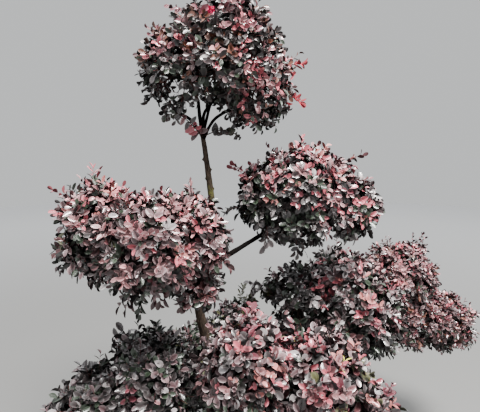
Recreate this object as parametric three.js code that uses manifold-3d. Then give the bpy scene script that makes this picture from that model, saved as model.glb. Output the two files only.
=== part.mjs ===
// A loropetalum topiary tree, 1.78 m tall: a leaning trunk with a root flare, forked at the top, and boughs
// that each carry a clipped cushion of foliage. Millimetres, +Z up, +X right, +Y away from the viewer.
// The origin is the middle of the trunk's flat cut at ground level.
import * as THREE from "three";
import { mergeVertices } from "three/addons/utils/BufferGeometryUtils.js";
import Module from "manifold-3d";

const wasm = await Module();
wasm.setup();

// Driving dimensions
const clearance = 0.3; // between solids that meet
const trunkRadius = { foot: 24, fork: 6.4, taperPower: 0.85 };
const rootFlare = { spread: 17, height: 70, buttresses: 5, depth: 0.3 };
const trunkFacets = { sides: 15, rings: 24 };
const trunkBuriedLength = 60; // modelled below the ground, then cut off flat
const limbFacets = { sides: 6, ringSpacing: 60, fewestRings: 3 };
const heartShare = { low: 0.68, high: 0.86 }; // of a lobe's radii, between which its ragged heart's skin lies
const coarseHeartBelow = 108; // a lobe smaller than this has a heart of fewer facets
const sprayReach = { low: 0.79, high: 0.87 }; // shares of a lobe's radii between which its twigs end
const spraySpacing = 222; // between neighbouring sprays on a lobe's surface
const leavesOnSpray = 3;
const twigRadius = { root: 5, tip: 3.4 };
const twigBeyondLeaf = 3; // from a twig's last leaf to its end
const leaf = { length: 66, width: 44, thickness: 3.4, widest: 0.46, splay: 56, rootSpacing: 7 };
const leafSizes = { low: 0.88, high: 1.12 };
const leafSplays = { low: 0.85, high: 1.15 };
const strayLeafLength = 46;
const strayBareTip = 33; // of a stray shoot's reach is leaf alone
const spaceLimit = 1.15; // a leaf may stand this share of the radius from its lobe's centre
const strayLimit = 2; // and a stray shoot's leaf this much
const spaceGap = 0.05; // share of a radius left between the spaces of two masses
const limbGap = 4; // from a leaf to any limb
const limbSampleStep = 12; // along the limbs, where that gap is measured
const goldenAngle = Math.PI * (3 - Math.sqrt(5));
const degree = Math.PI / 180;

// The trunk leans left to where the left cushion hides it, then swings back right and rises to the fork.
const trunkSpine = [
  [0, 0, 0],
  [-20, 5, 350],
  [-50, 0, 713],
  [-72, -2, 850],
  [-56, 0, 965],
  [-29, 0, 1090],
  [-26, 2, 1150],
  [-42, 0, 1300],
  [-54, 0, 1385],
];

// Each bough leaves the trunk at a height, passes its way points and ends at its tip.
const boughs = [
  {
    name: "bough_right",
    leavesAt: 955,
    radii: [9, 6],
    points: [[34, 38, 1000], [126, 76, 1048], [196, 102, 1086]],
  },
  {
    name: "bough_left",
    leavesAt: 930,
    radii: [9, 6.5],
    points: [[-92, -52, 968], [-150, -118, 1008]],
  },
  {
    name: "bough_low_front",
    leavesAt: 330,
    radii: [12, 8],
    points: [[34, -58, 430], [96, -118, 545]],
  },
  {
    name: "bough_low_left",
    leavesAt: 250,
    radii: [12, 8],
    points: [[-92, -22, 315], [-196, -44, 425], [-226, -48, 480]],
  },
  {
    name: "bough_low_rear",
    leavesAt: 390,
    radii: [10, 7],
    points: [[-26, 74, 430], [-48, 128, 478]],
  },
  {
    name: "bough_low_right",
    leavesAt: 190,
    radii: [13, 8],
    points: [[90, 70, 330], [240, 186, 520], [330, 236, 640]],
  },
  {
    name: "bough_far_right",
    leavesAt: 120,
    radii: [15, 8],
    points: [[180, 90, 235], [460, 290, 420], [690, 430, 640], [722, 446, 690]],
  },
  {
    name: "fork_left",
    leavesAt: 1372,
    radii: [5.2, 4],
    points: [[-89, -4, 1420], [-128, -8, 1442], [-152, -12, 1468]],
  },
  {
    name: "fork_centre",
    leavesAt: 1378,
    radii: [6, 4.8],
    points: [[-60, 2, 1424], [-64, 4, 1472]],
  },
  {
    name: "fork_right",
    leavesAt: 1374,
    radii: [5.4, 4.2],
    points: [[-47, 2, 1436], [-26, 4, 1466], [-2, 6, 1492]],
  },
  {
    name: "fork_low_right",
    leavesAt: 1364,
    radii: [5, 4],
    points: [[-17, -8, 1418], [22, -16, 1444], [58, -14, 1466]],
  },
  {
    name: "fork_rear",
    leavesAt: 1370,
    radii: [5, 4],
    points: [[-42, 34, 1424], [-30, 62, 1480]],
  },
];

// Masses of foliage. A lobe is its centre and its half-widths along X, Y and Z; the first one holds the stem.
// A stray is the tip of a shoot that stands out of the clipped outline.
const masses = [
  {
    name: "foliage_top",
    bough: "fork_centre",
    lobes: [
      [10, 20, 1634, 164, 172, 142],
      [-100, 0, 1562, 138, 138, 128],
      [102, 0, 1526, 116, 124, 150],
      [10, -64, 1556, 128, 122, 94],
      [0, 78, 1562, 140, 122, 104],
    ],
    strays: [[258, -12, 1580], [262, -8, 1466], [-248, -8, 1597]],
  },
  {
    name: "foliage_left",
    bough: "bough_left",
    lobes: [
      [-186, -160, 1076, 159, 159, 150],
      [-338, -120, 1100, 122, 126, 160],
      [-74, -140, 1084, 100, 100, 132],
      [-70, -130, 950, 82, 62, 78],
    ],
    strays: [[-455, -130, 1222], [-342, -130, 1284], [-214, -180, 884], [-256, -184, 892]],
  },
  {
    name: "foliage_right",
    bough: "bough_right",
    lobes: [
      [268, 120, 1196, 160, 160, 154],
      [156, 100, 1166, 98, 104, 122],
      [414, 120, 1138, 120, 120, 124],
      [270, 102, 1092, 126, 126, 84],
    ],
    strays: [[262, 112, 1362], [462, 110, 1310], [18, 84, 1126], [136, 30, 1026], [249, 60, 991]],
  },
  {
    name: "foliage_low_front",
    bough: "bough_low_front",
    lobes: [
      [80, -170, 690, 140, 136, 194],
      [292, -130, 598, 178, 172, 208],
      [448, -108, 496, 110, 110, 140],
    ],
    strays: [[92, -196, 905]],
  },
  {
    name: "foliage_low_left",
    bough: "bough_low_left",
    lobes: [
      [-222, -52, 590, 160, 156, 192],
      [-378, -84, 504, 150, 142, 166],
      [-500, -120, 430, 112, 104, 132],
    ],
    strays: [[-300, -60, 776]],
  },
  {
    name: "foliage_low_rear",
    bough: "bough_low_rear",
    lobes: [
      [-66, 176, 540, 146, 132, 170],
      [56, 236, 628, 112, 112, 130],
    ],
    strays: [],
  },
  {
    name: "foliage_low_right",
    bough: "bough_low_right",
    lobes: [
      [512, 260, 704, 176, 174, 190],
      [276, 258, 742, 134, 132, 160],
      [452, 322, 814, 140, 140, 126],
    ],
    strays: [[150, 250, 800], [100, 250, 826]],
  },
  {
    name: "foliage_far_right",
    bough: "bough_far_right",
    lobes: [
      [745, 464, 784, 162, 160, 160],
      [809, 450, 617, 152, 145, 152],
      [937, 440, 590, 131, 130, 131],
    ],
    strays: [[832, 460, 966]],
  },
];

// Two arching leafy shoots that spring from the fork, below the top cushion.
const forkShoots = [
  {
    name: "shoot_fork_right",
    points: [[-46, -5, 1372], [-8, -32, 1384], [30, -46, 1386], [58, -50, 1364]],
  },
  {
    name: "shoot_fork_left",
    points: [[-54, -4, 1370], [-84, -28, 1406], [-124, -42, 1434], [-158, -44, 1426]],
  },
];
const forkShoot = { radii: [2.6, 1.6], facets: { sides: 4, ringSpacing: 14, fewestRings: 3 } };
const forkShootLeaf = { length: 34, places: 7, down: 0.9, sideways: 0.55, forward: 0.5, limbGap: 1 };

// Colours and finishes
const bark = new THREE.MeshStandardMaterial({ color: 0x6a5a4a, roughness: 0.9, metalness: 0 });
const foliage = new THREE.MeshStandardMaterial({ color: 0x6b4a54, roughness: 0.6, metalness: 0 });

const group = new THREE.Group();
const up = new THREE.Vector3(0, 0, 1);
const vector = (p) => new THREE.Vector3(...p);

// A fixed number from 0 to 1 that looks random, for a count and a salt.
function chance(count, salt) {
  const wave = Math.sin(count * 12.9898 + salt * 78.233) * 43758.5453;
  return wave - Math.floor(wave);
}
const between = ({ low, high }, share) => low + (high - low) * share;

// Solids and how they join
function weld(geometry) {
  const bare = geometry.clone();
  bare.deleteAttribute("normal");
  bare.deleteAttribute("uv");
  return mergeVertices(bare, 1e-4);
}

function solidOf(geometry) {
  const welded = weld(geometry);
  return new wasm.Manifold(
    new wasm.Mesh({
      numProp: 3,
      vertProperties: welded.attributes.position.array,
      triVerts: new Uint32Array(welded.index.array),
    }),
  );
}

// The largest outer body of a solid, with no loose scraps and no sealed hollows.
function mainBody(solid) {
  const bodies = solid.decompose();
  return bodies.reduce((best, body) => (body.volume() > best.volume() ? body : best));
}

function addNode(name, solid, material) {
  const mesh = solid.getMesh();
  const geometry = new THREE.BufferGeometry();
  geometry.setAttribute("position", new THREE.BufferAttribute(mesh.vertProperties, 3));
  geometry.setIndex(new THREE.BufferAttribute(mesh.triVerts, 1));
  geometry.computeVertexNormals();
  const node = new THREE.Mesh(geometry, material);
  node.name = name;
  group.add(node);
}

// Limbs
function spineThrough(points) {
  return new THREE.CatmullRomCurve3(points.map(vector), false, "centripetal");
}

// A closed tapering limb: rings of corners round a spine, each end shut by a fan. grow swells it and its tip.
function limbGeometry(limb, grow = 0) {
  const { spine, radiusAt, sides, rings } = limb;
  const frames = spine.computeFrenetFrames(rings, false);
  const corners = [];
  for (let ring = 0; ring <= rings; ring++) {
    const share = ring / rings;
    const middle = spine.getPointAt(share);
    if (ring === rings) middle.addScaledVector(frames.tangents[ring], grow);
    for (let side = 0; side < sides; side++) {
      const turn = (side / sides) * 2 * Math.PI;
      const radius = radiusAt(share, turn, middle.z) + grow;
      corners.push(
        middle
          .clone()
          .addScaledVector(frames.normals[ring], Math.cos(turn) * radius)
          .addScaledVector(frames.binormals[ring], Math.sin(turn) * radius),
      );
    }
    if (ring === 0 || ring === rings) corners.push(middle);
  }
  return tubeGeometry(corners, sides, rings);
}

// Joins rings of corners into a closed skin. The first and last rings are followed by their middle point.
function tubeGeometry(corners, sides, rings) {
  const ringStart = (ring) => (ring === 0 ? 0 : ring * sides + 1);
  const faces = [];
  for (let side = 0; side < sides; side++) {
    const next = (side + 1) % sides;
    for (let ring = 0; ring < rings; ring++) {
      const low = ringStart(ring);
      const high = ringStart(ring + 1);
      faces.push(low + side, low + next, high + next, low + side, high + next, high + side);
    }
    const last = ringStart(rings);
    faces.push(sides, next, side, last + sides, last + side, last + next);
  }
  const geometry = new THREE.BufferGeometry().setFromPoints(corners);
  geometry.setIndex(faces);
  return geometry;
}

function plainLimb(points, [rootRadius, tipRadius], { sides, ringSpacing, fewestRings } = limbFacets) {
  const spine = spineThrough(points);
  const radiusAt = (share) => rootRadius + (tipRadius - rootRadius) * share;
  const rings = Math.max(fewestRings, Math.round(spine.getLength() / ringSpacing));
  return { spine, radiusAt, sides, rings };
}

function trunkLimb() {
  const spine = spineThrough([[0, 0, -trunkBuriedLength], ...trunkSpine]);
  const top = trunkSpine[trunkSpine.length - 1][2];
  const radiusAt = (share, turn, height) => {
    const above = Math.max(height, 0);
    const taper = Math.max(0, 1 - above / top) ** trunkRadius.taperPower;
    const shaft = trunkRadius.fork + (trunkRadius.foot - trunkRadius.fork) * taper;
    const buttress = 1 + rootFlare.depth * Math.cos(rootFlare.buttresses * turn);
    return shaft + rootFlare.spread * Math.exp(-above / rootFlare.height) * buttress;
  };
  return { spine, radiusAt, ...trunkFacets };
}

function trunkPointAt(height) {
  const after = trunkSpine.findIndex((p) => p[2] >= height);
  const [low, high] = [vector(trunkSpine[after - 1]), vector(trunkSpine[after])];
  return low.lerp(high, (height - low.z) / (high.z - low.z)).toArray();
}

const trunk = trunkLimb();
const belowGround = new THREE.BoxGeometry(400, 400, 200).translate(0, 0, -100);
const trunkSolid = solidOf(limbGeometry(trunk)).subtract(solidOf(belowGround));
addNode("trunk", mainBody(trunkSolid), bark);

// Every limb so far, swollen by the clearance, so that what meets it can be cut clear.
let limbsGrown = solidOf(limbGeometry(trunk, clearance));
const limbs = [trunk];
const boughTips = {};
for (const bough of boughs) {
  const root = trunkPointAt(bough.leavesAt);
  const limb = plainLimb([root, ...bough.points], bough.radii);
  addNode(bough.name, mainBody(solidOf(limbGeometry(limb)).subtract(limbsGrown)), bark);
  limbsGrown = limbsGrown.add(solidOf(limbGeometry(limb, clearance)));
  limbs.push(limb);
  boughTips[bough.name] = limb.spine.getPointAt(1);
}

// How near a point is to the skin of the nearest limb.
const limbSamples = limbs.flatMap((limb) => {
  const steps = Math.ceil(limb.spine.getLength() / limbSampleStep);
  return Array.from({ length: steps + 1 }, (_, i) => {
    const middle = limb.spine.getPointAt(i / steps);
    return { middle, radius: limb.radiusAt(i / steps, 0, middle.z) };
  });
});
const gapToLimbs = (p) => Math.min(...limbSamples.map((s) => p.distanceTo(s.middle) - s.radius));

// Foliage
// How far a point is from a lobe's centre, as a share of the lobe's radius on that side.
function shareOfLobe(p, [x, y, z, rx, ry, rz]) {
  return Math.hypot((p.x - x) / rx, (p.y - y) / ry, (p.z - z) / rz);
}
const shareOfMass = (p, mass) => Math.min(...mass.lobes.map((lobe) => shareOfLobe(p, lobe)));

// Whether a point is in this mass's own space: near its lobes, nearer than to any other mass's, off limbs.
function inOwnSpace(p, mass, limit) {
  const own = shareOfMass(p, mass);
  if (own > limit || gapToLimbs(p) < limbGap) return false;
  return masses.every((other) => other === mass || shareOfMass(p, other) > own + spaceGap);
}

// A three-sided tapering twig from one point to another.
function twigSolid(from, to, rootRadius, tipRadius) {
  const turn = new THREE.Quaternion().setFromUnitVectors(up, to.clone().sub(from).normalize());
  const ringAt = (end, radius) =>
    [0, 1, 2].map((side) =>
      new THREE.Vector3(radius, 0, 0)
        .applyAxisAngle(up, (side * 2 * Math.PI) / 3)
        .applyQuaternion(turn)
        .add(end),
    );
  const corners = [...ringAt(from, rootRadius), ...ringAt(to, tipRadius)];
  const twig = new THREE.BufferGeometry().setFromPoints(corners);
  twig.setIndex([0, 2, 1, 3, 4, 5, 0, 1, 4, 0, 4, 3, 1, 2, 5, 1, 5, 4, 2, 0, 3, 2, 3, 5]);
  return solidOf(twig);
}

// A leaf's six corners: root, tip, two sides, and a rib point above and below. along and up are unit vectors.
function leafCorners(root, along, up, length) {
  const across = new THREE.Vector3().crossVectors(up, along).normalize();
  const size = length / leaf.length;
  const at = (share, side, height) =>
    root
      .clone()
      .addScaledVector(along, share * length)
      .addScaledVector(across, side * size)
      .addScaledVector(up, height * size);
  const { width, thickness, widest } = leaf;
  return [
    at(0, 0, 0),
    at(widest, width / 2, 0),
    at(1, 0, 0),
    at(widest, -width / 2, 0),
    at(widest, 0, thickness),
    at(widest, 0, -thickness / 2),
  ];
}

function leafSolid(corners) {
  const geometry = new THREE.BufferGeometry().setFromPoints(corners);
  geometry.setIndex([0, 4, 1, 1, 4, 2, 2, 4, 3, 3, 4, 0, 1, 5, 0, 2, 5, 1, 3, 5, 2, 0, 5, 3]);
  const solid = solidOf(geometry);
  if (solid.volume() > 0) return solid;
  geometry.setIndex([...geometry.index.array].reverse());
  return solidOf(geometry);
}

// The leaves that circle a twig's outer end, each turned by the golden angle from the last.
function leavesRound(from, to, salt, mass, limit, length) {
  const along = to.clone().sub(from).normalize();
  const side = new THREE.Vector3(-along.y, along.x, 0).normalize();
  const firstTurn = chance(0, salt) * 2 * Math.PI;
  const solids = [];
  for (let k = 0; k < leavesOnSpray; k++) {
    const outward = side.clone().applyAxisAngle(along, firstTurn + k * goldenAngle);
    const splay = leaf.splay * degree * between(leafSplays, chance(k, salt + 0.2));
    const direction = along.clone().multiplyScalar(Math.cos(splay)).addScaledVector(outward, Math.sin(splay));
    const upper = along.clone().multiplyScalar(Math.sin(splay)).addScaledVector(outward, -Math.cos(splay));
    const back = twigBeyondLeaf + (leavesOnSpray - 1 - k) * leaf.rootSpacing;
    const root = to.clone().addScaledVector(along, -back);
    const corners = leafCorners(root, direction, upper, length * between(leafSizes, chance(k, salt + 0.5)));
    if (corners.slice(1).every((c) => inOwnSpace(c, mass, limit))) solids.push(leafSolid(corners));
  }
  return solids;
}

// A lobe's clipped heart: a ball stretched to its shape, each corner of its skin at a depth of its own.
function heartSolid([x, y, z, rx, ry, rz]) {
  const detail = Math.max(rx, rz) < coarseHeartBelow ? 1 : 2;
  const ball = weld(new THREE.IcosahedronGeometry(1, detail));
  const position = ball.attributes.position;
  for (let i = 0; i < position.count; i++) {
    const share = between(heartShare, chance(i, x + y + z));
    const corner = new THREE.Vector3().fromBufferAttribute(position, i).multiplyScalar(share);
    position.setXYZ(i, corner.x, corner.y, corner.z);
  }
  return solidOf(ball.scale(rx, ry, rz).translate(x, y, z));
}

// Evenly spread directions on a ball, by the golden angle.
function spreadDirection(i, count, salt) {
  const height = 1 - (2 * (i + 0.5)) / count;
  const ring = Math.sqrt(1 - height * height);
  const turn = i * goldenAngle + salt;
  return new THREE.Vector3(Math.cos(turn) * ring, Math.sin(turn) * ring, height);
}

function lobeSprays(mass, lobe, salt) {
  const [x, y, z, rx, ry, rz] = lobe;
  const hub = new THREE.Vector3(x, y, z);
  const radii = new THREE.Vector3(rx, ry, rz);
  const meanRadius = (rx + ry + rz) / 3;
  const count = Math.round((4 * Math.PI * meanRadius ** 2) / spraySpacing ** 2);
  const solids = [];
  for (let i = 0; i < count; i++) {
    const reach = between(sprayReach, chance(i, salt));
    const tip = spreadDirection(i, count, salt).multiply(radii).multiplyScalar(reach).add(hub);
    const buried = mass.lobes.some((other) => other !== lobe && shareOfLobe(tip, other) < sprayReach.low);
    if (buried || !inOwnSpace(tip, mass, 1)) continue;
    const leaves = leavesRound(hub, tip, salt + i, mass, spaceLimit, leaf.length);
    if (leaves.length) solids.push(twigSolid(hub, tip, twigRadius.root, twigRadius.tip), ...leaves);
  }
  return solids;
}

// A shoot that stands out beyond the outline, from the heart of the nearest lobe.
function straySpray(mass, tip, salt) {
  const nearest = mass.lobes.reduce((a, b) => (shareOfLobe(tip, b) < shareOfLobe(tip, a) ? b : a));
  const hub = new THREE.Vector3(...nearest);
  const end = tip.clone().lerp(hub, strayBareTip / tip.distanceTo(hub));
  const leaves = leavesRound(hub, end, salt, mass, strayLimit, strayLeafLength);
  return [twigSolid(hub, end, twigRadius.root, twigRadius.tip), ...leaves];
}

masses.forEach((mass, m) => {
  const firstHub = new THREE.Vector3(...mass.lobes[0]);
  const solids = [twigSolid(boughTips[mass.bough], firstHub, twigRadius.root, twigRadius.root)];
  mass.lobes.forEach((lobe, n) => {
    solids.push(heartSolid(lobe), ...lobeSprays(mass, lobe, m * 7.3 + n * 1.7));
  });
  mass.strays.forEach((tip, n) => solids.push(...straySpray(mass, vector(tip), m + n * 0.37)));
  const whole = wasm.Manifold.union(solids).subtract(limbsGrown);
  addNode(mass.name, mainBody(whole), foliage);
});

// The fork's shoots: a fine arching limb with leaves that hang in two rows below it.
forkShoots.forEach((shoot, n) => {
  const limb = plainLimb(shoot.points, forkShoot.radii, forkShoot.facets);
  const solids = [solidOf(limbGeometry(limb))];
  for (let k = 1; k < forkShootLeaf.places; k++) {
    const root = limb.spine.getPointAt(k / forkShootLeaf.places);
    const tangent = limb.spine.getTangentAt(k / forkShootLeaf.places);
    const across = new THREE.Vector3(-tangent.y, tangent.x, 0).normalize();
    if (k % 2 === 0) across.negate();
    const direction = new THREE.Vector3(0, 0, -forkShootLeaf.down)
      .addScaledVector(across, forkShootLeaf.sideways)
      .addScaledVector(tangent, forkShootLeaf.forward)
      .normalize();
    const upper = new THREE.Vector3().crossVectors(direction, tangent).normalize();
    const length = forkShootLeaf.length * between(leafSizes, chance(k, n));
    const corners = leafCorners(root, direction, upper, length);
    if (corners.slice(1).every((c) => gapToLimbs(c) > forkShootLeaf.limbGap)) solids.push(leafSolid(corners));
  }
  const whole = wasm.Manifold.union(solids).subtract(limbsGrown);
  addNode(shoot.name, mainBody(whole), foliage);
});

export default group;
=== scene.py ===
"""A loropetalum trained as a cloud-pruned tree, 1.78 m tall, dressed around its solids.

Metres, +Z up, +X right, +Y away from the viewer; the origin is the middle of the trunk's flat cut at ground
level. Bark and leaves grow by the same seeded rule as the solids, carried to finer twigs.
"""

import math

import bpy
import numpy as np
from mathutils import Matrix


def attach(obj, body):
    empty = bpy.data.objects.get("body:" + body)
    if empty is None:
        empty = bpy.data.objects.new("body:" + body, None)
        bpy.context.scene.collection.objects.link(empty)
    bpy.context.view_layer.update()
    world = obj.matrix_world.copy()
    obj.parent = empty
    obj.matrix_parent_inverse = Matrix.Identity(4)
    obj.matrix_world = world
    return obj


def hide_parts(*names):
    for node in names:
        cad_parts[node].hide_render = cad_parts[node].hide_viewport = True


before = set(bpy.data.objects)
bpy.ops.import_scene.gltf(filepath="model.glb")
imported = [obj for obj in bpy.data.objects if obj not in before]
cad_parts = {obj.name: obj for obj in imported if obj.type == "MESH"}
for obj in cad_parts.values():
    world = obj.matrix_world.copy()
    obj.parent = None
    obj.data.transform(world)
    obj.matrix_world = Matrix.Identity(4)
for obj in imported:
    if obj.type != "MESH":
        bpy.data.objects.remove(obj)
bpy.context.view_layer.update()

# The trunk: a slender stem that leans left, swings back and forks at the top. Its thin bark is fissured
# along the grain, mossy on one stretch, with stubs where shoots were cut away, and it flares into the roots.
MM = 0.001
TRUNK_SPINE = MM * np.array([
    [0, 0, 0], [-20, 5, 350], [-50, 0, 713], [-72, -2, 850], [-56, 0, 965],
    [-29, 0, 1090], [-26, 2, 1150], [-42, 0, 1300], [-54, 0, 1385],
])
TRUNK_FOOT_RADIUS = 24 * MM
TRUNK_FORK_RADIUS = 6.4 * MM
TRUNK_TAPER_POWER = 0.85
TRUNK_RELIEF = 0.55 * MM
FLARE_SPREAD = 17 * MM
FLARE_HEIGHT = 70 * MM
FLARE_BUTTRESSES = 5
FLARE_DEPTH = 0.3
# A stub is its height, its place round the trunk (a turn from the left by way of the front) and how far it
# stands out.
STUBS = (
    (1.302, 0.1, 5.5 * MM),
    (1.269, 3.2, 5 * MM),
    (1.244, 0.3, 3.5 * MM),
    (1.211, 3.0, 3.5 * MM),
    (1.345, 1.9, 2.5 * MM),
    (1.06, 4.4, 3.5 * MM),
    (0.79, 0.6, 5 * MM),
    (0.58, 2.6, 6 * MM),
    (0.43, 5.4, 6 * MM),
)
STUB_HALF_LENGTH = 4 * MM
STUB_HALF_TURN = 0.42
MOSS_BAND = {"Low": 1.1, "High": 1.2, "Edge": 0.07}
STEPS_BETWEEN_POINTS = 40
STEEP = 0.9
CHANCE_WAVES = (12.9898, 78.233, 43758.5453)
TINY = 1e-12


def chance(number, salt):
    """A fixed value from 0 to 1 that looks random: the fractional part of a large multiple of a sine. A step
    added to the salt keeps one use apart from another."""
    by_number, by_salt, height = CHANCE_WAVES
    wave = np.sin(np.asarray(number) * by_number + np.asarray(salt) * by_salt) * height
    return wave - np.floor(wave)


def unit(vectors):
    """Each vector over its own length."""
    return vectors / np.maximum(np.linalg.norm(vectors, axis=-1, keepdims=True), TINY)


def square_to(vectors, lines):
    """Each vector less its part along a line of unit length, over what length is left."""
    return unit(vectors - lines * (vectors * lines).sum(axis=-1, keepdims=True))


def even_turns(count):
    """Angles in even steps once round."""
    return np.linspace(0, 2 * np.pi, count, endpoint=False)


def smooth_path(points, count):
    """Evenly spaced points on a centripetal Catmull-Rom curve.

    Between neighbours the curve is the cubic whose end slopes weigh the chords on both sides by the square
    roots of their lengths. The curve is drawn finely, then read again at equal steps of its own length.
    """
    points = np.asarray(points, float)
    ends = [[2 * points[0] - points[1]], points, [2 * points[-1] - points[-2]]]
    p0, p1, p2, p3 = (np.concatenate(ends)[i : len(points) - 1 + i] for i in range(4))
    d0, d1, d2 = (np.sqrt(np.linalg.norm(b - a, axis=1))[:, None] for a, b in ((p0, p1), (p1, p2), (p2, p3)))
    slope_1 = d1 * ((p1 - p0) / d0 - (p2 - p0) / (d0 + d1) + (p2 - p1) / d1)
    slope_2 = d1 * ((p2 - p1) / d1 - (p3 - p1) / (d1 + d2) + (p3 - p2) / d2)
    t = np.linspace(0, 1, STEPS_BETWEEN_POINTS, endpoint=False)[:, None, None]
    bend = 3 * (p2 - p1) - 2 * slope_1 - slope_2
    cubic = p1 + slope_1 * t + bend * t**2 + (2 * (p1 - p2) + slope_1 + slope_2) * t**3
    fine = np.concatenate([cubic.transpose(1, 0, 2).reshape(-1, 3), points[-1:]])
    length = path_lengths(fine[None])[0]
    even = np.linspace(0, length[-1], count)
    return np.stack([np.interp(even, length, fine[:, k]) for k in range(3)], axis=1)


def path_lengths(spines):
    """How far along its own spine each point lies, for spines of shape (how many, points, 3)."""
    steps = np.linalg.norm(np.diff(spines, axis=1), axis=2)
    return np.concatenate([np.zeros((len(spines), 1)), np.cumsum(steps, axis=1)], axis=1)


def tube_surface(spines, radii, sides):
    """Rings of corners round many spines at once, as (corners, faces, straight).

    A ring lies square to its spine: its first direction is a vector square to the spine's chord, made square
    to the local slope, and its second the cross product of the two. Corner = spine point + radius * (cosine
    of the turn * first + sine of the turn * second). A middle point closes each end. straight is the same
    tube unbent, its length along Z, for patterns that follow the grain.
    """
    many, rings, _ = spines.shape
    chord = unit(spines[:, -1] - spines[:, 0])
    helper = np.where(np.abs(chord[:, 2:]) > STEEP, [[0.0, 1.0, 0.0]], [[0.0, 0.0, 1.0]])
    slope = unit(np.gradient(spines, axis=1))
    first = square_to(unit(np.cross(chord, helper))[:, None], slope)
    second, turn = np.cross(slope, first), even_turns(sides)
    radii = np.broadcast_to(radii if radii.ndim == 3 else radii[..., None], (many, rings, sides))
    across = first[:, :, None] * np.cos(turn)[:, None] + second[:, :, None] * np.sin(turn)[:, None]
    corners = spines[:, :, None] + across * radii[..., None]
    along = np.broadcast_to(path_lengths(spines)[..., None], radii.shape)
    straight = np.stack([radii * np.cos(turn), radii * np.sin(turn), along], axis=-1)
    corners = np.concatenate([corners.reshape(many, -1, 3), spines[:, :1], spines[:, -1:]], axis=1)
    middles = np.zeros((many, 2, 3))
    middles[:, 1, 2] = along[:, -1, 0]
    straight = np.concatenate([straight.reshape(many, -1, 3), middles], axis=1)
    side, after = np.arange(sides), (np.arange(sides) + 1) % sides
    low = sides * np.arange(rings - 1)[:, None]
    walls = [low + side, low + after, low + after + sides, low + side + sides]
    walls = np.stack(walls, axis=-1).reshape(-1, 4)
    root, tip, last = np.full(sides, rings * sides), np.full(sides, rings * sides + 1), (rings - 1) * sides
    caps = [np.stack([root, after, side], axis=1), np.stack([tip, last + side, last + after], axis=1)]
    faces = np.concatenate([walls[:, [0, 1, 2]], walls[:, [0, 2, 3]], *caps])
    faces = (faces[None] + (rings * sides + 2) * np.arange(many)[:, None, None]).reshape(-1, 3)
    return corners.reshape(-1, 3), faces, straight.reshape(-1, 3)


def new_object(name, data):
    """An object with the given data, linked into the scene."""
    made = bpy.data.objects.new(name, data)
    bpy.context.collection.objects.link(made)
    return made


def dress(name, corners, faces, materials, replaced, straight=None, tint=None, maps=None):
    """Makes a mesh object of triangles that rides on the plant and stands for the named solids."""
    mesh = bpy.data.meshes.new(name)
    mesh.vertices.add(len(corners))
    mesh.vertices.foreach_set("co", corners.astype(np.float32).ravel())
    mesh.loops.add(faces.size)
    mesh.loops.foreach_set("vertex_index", faces.astype(np.int32).ravel())
    mesh.polygons.add(len(faces))
    mesh.polygons.foreach_set("loop_start", np.arange(len(faces), dtype=np.int32) * 3)
    for material in materials:
        mesh.materials.append(material)
    if tint is not None:
        mesh.polygons.foreach_set("material_index", tint.astype(np.int32))
    if straight is not None:
        attribute = mesh.attributes.new("straight", "FLOAT_VECTOR", "POINT")
        attribute.data.foreach_set("vector", straight.astype(np.float32).ravel())
    for map_name, places in (maps or {}).items():
        layer = mesh.uv_layers.new(name=map_name)
        layer.data.foreach_set("uv", places[faces.ravel()].astype(np.float32).ravel())
    mesh.update(calc_edges=True)
    mesh.shade_smooth()
    piece = new_object(name, mesh)
    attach(piece, "root")
    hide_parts(*replaced)


def fissured(radii, turn, along, depth):
    """Radii with bark's relief: sums of sines round the limb that drift along it, the sharpest ones cut in.

    relief = depth * (0.25 * slow swelling + 0.25 * ridges - 0.9 * fissures), where ridges and fissures are
    sines of 7 to 19 waves round the limb whose phase wanders with the length.
    """
    wander = 1.3 * np.sin(along * 31) + 0.8 * np.sin(along * 83 + 1)
    swelling = np.sin(along * 57 + 2 * np.sin(turn)) + np.sin(along * 131 + turn)
    ridges = np.sin(7 * turn + wander) + np.sin(12 * turn - 1.7 * wander + along * 60)
    cuts = np.maximum(0, np.sin(19 * turn + 2.2 * wander) * np.sin(along * 210 + 3 * np.sin(3 * turn)) - 0.3)
    return radii + depth * (0.25 * swelling + 0.25 * ridges - 0.9 * cuts)


def colour(red, green, blue):
    """A colour as seen on a screen, 0 to 255, as the linear light that a shader takes."""
    shown = np.array([red, green, blue]) / 255
    linear = np.where(shown <= 0.04045, shown / 12.92, ((shown + 0.055) / 1.055) ** 2.4)
    return (*linear.tolist(), 1.0)


def feed(node, inputs):
    """Sets a shader node's inputs by name or number: a socket is linked, a plain value is set."""
    for label, value in inputs.items():
        if isinstance(value, bpy.types.NodeSocket):
            node.id_data.links.new(value, node.inputs[label])
        else:
            node.inputs[label].default_value = value


def add_node(tree, kind, inputs, **settings):
    """A new shader node. Its settings come first, because they choose which inputs it has."""
    node = tree.nodes.new("ShaderNode" + kind)
    for setting, value in settings.items():
        setattr(node, setting, value)
    feed(node, inputs)
    return node


def sum_of(tree, operation, *values):
    """The result of a sum on sockets and plain numbers."""
    return add_node(tree, "Math", dict(enumerate(values)), operation=operation).outputs["Value"]


def share_between(tree, value, low, high, interpolation="LINEAR"):
    """A value's share of the way from low to high, kept from 0 to 1."""
    inputs = {"Value": value, "From Min": low, "From Max": high}
    return add_node(tree, "MapRange", inputs, interpolation_type=interpolation).outputs["Result"]


def blended(tree, factor, first, second):
    """The colour that lies a factor of the way from the first to the second."""
    inputs = {"Factor": factor, "A": first, "B": second}
    return add_node(tree, "Mix", inputs, data_type="RGBA").outputs["Result"]


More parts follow.
